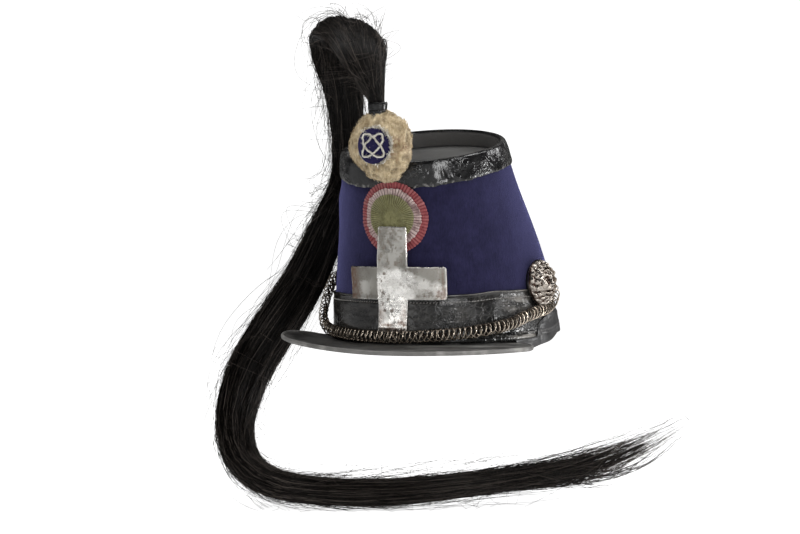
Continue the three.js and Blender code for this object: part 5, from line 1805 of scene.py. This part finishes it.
def mask_height(x, z):
    """How far a mask of common ornament stands out from its back, across and up from its middle."""
    radius, angle = np.hypot(x, z), np.arctan2(x, z)
    height = 2.2 + 2.6 * smoothstep(BOSS_RADIUS - radius, 0.4, 4.0)
    outer = np.abs(np.sin(angle * 8 + radius * 0.4)) * (0.75 + 0.35 * np.cos(radius * 2.1 + 0.6))
    inner = np.abs(np.sin(angle * 6.5 - radius * 0.55 + 1)) * (0.8 + 0.3 * np.cos(radius * 2.4))
    tier = smoothstep(radius, 10.6, 11.4)
    rim = smoothstep(radius, 14.8, 15.9)
    locks = (outer ** 0.7 * 2.8 - 1.0) * tier + (inner ** 0.7 * 2.9 - 0.6) * (1 - tier)
    height += locks * smoothstep(radius, 7.2, 8.8) * (1 - rim)
    height += 1.5 * smoothstep(radius, 9.6, 10.4) * (1 - smoothstep(radius, 10.4, 11.6))
    height += 4.8 * np.sqrt(np.clip(1 - (x / 7.6) ** 2 - ((z - 0.2) / 9.2) ** 2, 0, 1))
    for side in (-1, 1):
        height += 1.7 * blob(x, z, side * 3.4, 4.2 + 0.15 * side * x, 2.4, 0.85)  # brow
        height -= 2.4 * blob(x, z, side * 3.2, 1.9, 2.0, 1.3)  # eye socket
        height += 1.9 * blob(x, z, side * 3.2, 1.9, 0.95, 0.8)  # eye
        height += 2.0 * blob(x, z, side * 1.9, -4.2, 1.6, 1.5)  # muzzle
        height += 1.2 * blob(x, z, side * 5.0, -1.4, 1.7, 2.4)  # cheek
        height += 1.9 * blob(x, z, side * 6.6, 6.8, 1.6, 1.8)  # ear
        height -= 1.4 * blob(x, z, side * 6.6, 6.6, 0.7, 0.9)
    height += 2.4 * np.exp(-(x / 1.3) ** 2) * smoothstep(z, -3.4, -1.6) * (1 - smoothstep(z, 2.6, 6.0))
    height += 1.4 * blob(x, z, 0, -2.2, 2.1, 0.9)  # nose
    height -= 2.6 * blob(x, z, 0, -6.2, 3.0, 0.6)  # mouth
    height += 1.6 * blob(x, z, 0, -8.0, 2.2, 1.1)  # chin
    height -= 0.6 * np.exp(-(x / 0.5) ** 2) * smoothstep(z, 4.5, 6) * (1 - smoothstep(z, 8, 10))
    return height * (1 - smoothstep(radius, 15.5, BOSS_RADIUS) * 0.5)


rows, columns = 64, 140
radius = BOSS_RADIUS * np.linspace(0.01, 1, rows)[:, None]
angle = turns(columns)[None, :]
x, z = radius * np.sin(angle), radius * np.cos(angle)
height = mask_height(x, z)
back_rows = [-1, 0]
front = xyz(x, height, z * MASK_TALLER) * MASK_SCALE
back = xyz(x, 0 * height, z * MASK_TALLER)[back_rows] * MASK_SCALE
mask = np.concatenate([front, back])
print("mask stands", round(float(height.max() * MASK_SCALE), 1), "mm high")

# %% [markdown]
# Hollows hold dark wax and dirt, so a point that lies lower than its neighbours gets a stronger
# brown tone: eight heights in a ring round each point are averaged and compared with its own.

# %% Lion mask: its dirt
RING_REACH = 1.3
ring_heights = [mask_height(x + RING_REACH * math.cos(a), z + RING_REACH * math.sin(a)) for a in turns(8)]
hollow = np.clip((np.mean(ring_heights, axis=0) - height) * 1.9 + 0.34, 0, 0.98)
hollow = np.clip(hollow + 0.25 * lumps(xyz(x, 0 * x, z), 1.4, 68), 0, 0.98)
tone = np.concatenate([hollow, np.full((len(back_rows), columns), 0.6)])
print("mean dirt", round(float(hollow.mean()), 2))

# %% [markdown]
# Each mask stands on a round leather pad on the side of the kepi. The left one is turned a little.

# %% Lion masks and their pads
BOSS_OUT, PAD_THICK, PAD_REACH = 5.2, 1.8, 15.8
BOSS_LEAN, BOSS_HEIGHT = math.radians(6), 43.5
BOSSES = [
    # name, bearing, degrees turned
    ("left", -6.8, -8),
    ("right", 172.0, 0),
]


def on_side(points, bearing, out, turned):
    """Stands a drawn-flat form (its back at y = 0, its front towards +Y) on the side of the kepi."""
    spot = wall(bearing, BOSS_HEIGHT, out)
    facing = wall(bearing, BOSS_HEIGHT, out + 1) - spot
    x, y, z = points[..., 0], points[..., 1], points[..., 2]
    y, z = (y * math.cos(BOSS_LEAN) - z * math.sin(BOSS_LEAN),
            y * math.sin(BOSS_LEAN) + z * math.cos(BOSS_LEAN))
    turn = math.atan2(facing[1], facing[0]) - math.pi / 2 + turned
    x, y = x * math.cos(turn) - y * math.sin(turn), x * math.sin(turn) + y * math.cos(turn)
    return xyz(x, y, z) + spot


pad_profile = rounded([(0.02, 0), (PAD_REACH, 0), (PAD_REACH, PAD_THICK), (0.02, PAD_THICK)], 0.5, 1.2)
pad_points, pad_faces = lathe(pad_profile, (0, 0), 80)
for name, bearing, turned in BOSSES:
    bearing, turned = math.radians(bearing), math.radians(turned)
    standing = on_side(mask, bearing, BOSS_OUT, turned)
    make(f"lion_mask_{name}", standing, grid(len(mask), columns, True, True), boss_metal,
         f"boss_{name}", tone=tone)
    standing = on_side(pad_points[:, [0, 2, 1]], bearing, BOSS_OUT - PAD_THICK - GAP, turned)
    make(f"lion_pad_{name}", standing, pad_faces, socket_leather, f"boss_pad_{name}")

# %% [markdown]
# ## The chin chain
# Small rings of brass wire, once silvered, are linked so closely that they lie like scales. A row
# of rings in front leans one way, and a second row behind leans the other way and ties them. Only
# the crests of the wire are rubbed bright. A table gives the chain's route from the left boss down
# to the peak, along the foot of the band and up to the right boss.

# %% The chain's route
CHAIN_ROWS = np.array([
    # bearing, height, distance out
    (8, 42, 4.8), (7.6, 35, 5.4), (4, 29, 6.2), (-3, 24.6, 6.5), (-9, 22.6, 6.4), (-15, 21, 6.2),
    (-22, 18.2, 5.8), (-30, 14, 5.6), (-42, 10.6, 5.6), (-58, 7.6, 5.8),
    (-85, 5.0, 7), (-107, 5.2, 7), (-124, 6.4, 7), (-137, 8.5, 8.6), (-150, 17, 9.6), (-158, 29, 8),
    (-165, 40, 6.6), (-173, 47, 6.2),
])
PITCH, CHAIN_PIECES, CHAIN_END = 4.2, 5, 1.2  # no ring stands nearer the chain's end than that
route = wall(np.radians(CHAIN_ROWS[:, 0]), CHAIN_ROWS[:, 1], CHAIN_ROWS[:, 2])
knot = np.linspace(0, len(route) - 1, 600)
dense = fair_curve(route, knot)
dense_bearing = np.radians(np.interp(knot, np.arange(len(route)), CHAIN_ROWS[:, 0]))
travelled = np.concatenate([[0], np.cumsum(np.linalg.norm(np.diff(dense, axis=0), axis=1))])
chain_length = travelled[-1]
per_piece = int(round(chain_length / PITCH / CHAIN_PIECES))
fitted_pitch = chain_length / (per_piece * CHAIN_PIECES)
print("chain:", round(float(chain_length)), "mm,", per_piece * CHAIN_PIECES, "rings in each row")


def along_chain(place):
    """A point of the chain, the way along it, and the way out of the kepi, square to it."""
    spot, ahead = (np.array([np.interp(d, travelled, dense[:, k]) for k in range(3)])
                   for d in (place, place + 1))
    forward = unit(ahead - spot)
    bearing = np.interp(place, travelled, dense_bearing)
    out = wall(bearing, 20, 1) - wall(bearing, 20, 0)
    return spot, forward, unit(out - forward * (out @ forward))


# %% Chain rings
RING_TALL, RING_WIDE, WIRE, HOOP, SECTION = 4.8, 4.0, 0.43, 20, 7
FRONT_ROW = (0.62, 0.3, -0.3, 1.0, WIRE)  # yaw, lean, inset, size, wire
BACK_ROW = (-1.1, -0.15, 0.9, 0.84, WIRE * 1.15)
rng = np.random.RandomState(9)


def ring_row(places, yaw, lean, inset, size, wire):
    """Torus rings at these distances along the chain, turned by yaw and leaned sideways."""
    points, crest = [], []
    hoop, section = turns(HOOP)[:, None], turns(SECTION)[None, :, None]
    for place in places:
        spot, forward, out = along_chain(place)
        tall = np.cross(forward, out)
        slack = rng.normal(0, 0.09, 3)
        wide_axis = out * math.cos(yaw + slack[0]) - forward * math.sin(yaw + slack[0])
        tall_axis = tall * math.cos(lean + slack[1]) - forward * math.sin(lean + slack[1])
        normal = unit(np.cross(wide_axis, tall_axis))
        ray = wide_axis * (RING_WIDE * np.cos(hoop)) + tall_axis * (RING_TALL * np.sin(hoop))
        ray *= size
        tube = (unit(ray)[:, None] * np.cos(section) + normal * np.sin(section)) * wire
        points.append(spot - out * inset + ray[:, None] + tube)
        facing = (tube @ out) / wire + 0.9 * (ray @ out)[:, None] / RING_WIDE
        crest.append(1 - smoothstep(facing, 0.1, 1.3))
    return np.array(points), np.array(crest)


for number in range(CHAIN_PIECES):
    places = (number * per_piece + np.arange(per_piece) + 0.5) * fitted_pitch
    behind = np.minimum(places + PITCH / 2, chain_length - CHAIN_END)
    front_points, front_crest = ring_row(places, *FRONT_ROW)
    back_points, back_crest = ring_row(behind, *BACK_ROW)
    points = np.concatenate([front_points, back_points])
    tone = np.concatenate([front_crest, np.minimum(back_crest + 0.55, 1)]) * 0.9
    starts = np.arange(len(points)) * HOOP * SECTION
    faces = (grid(HOOP, SECTION, True, True)[None] + starts[:, None, None]).reshape(-1, 4)
    make(f"chain_rings_{number + 1}", points, faces, chain_metal, f"chain_{number + 1}", tone=tone)
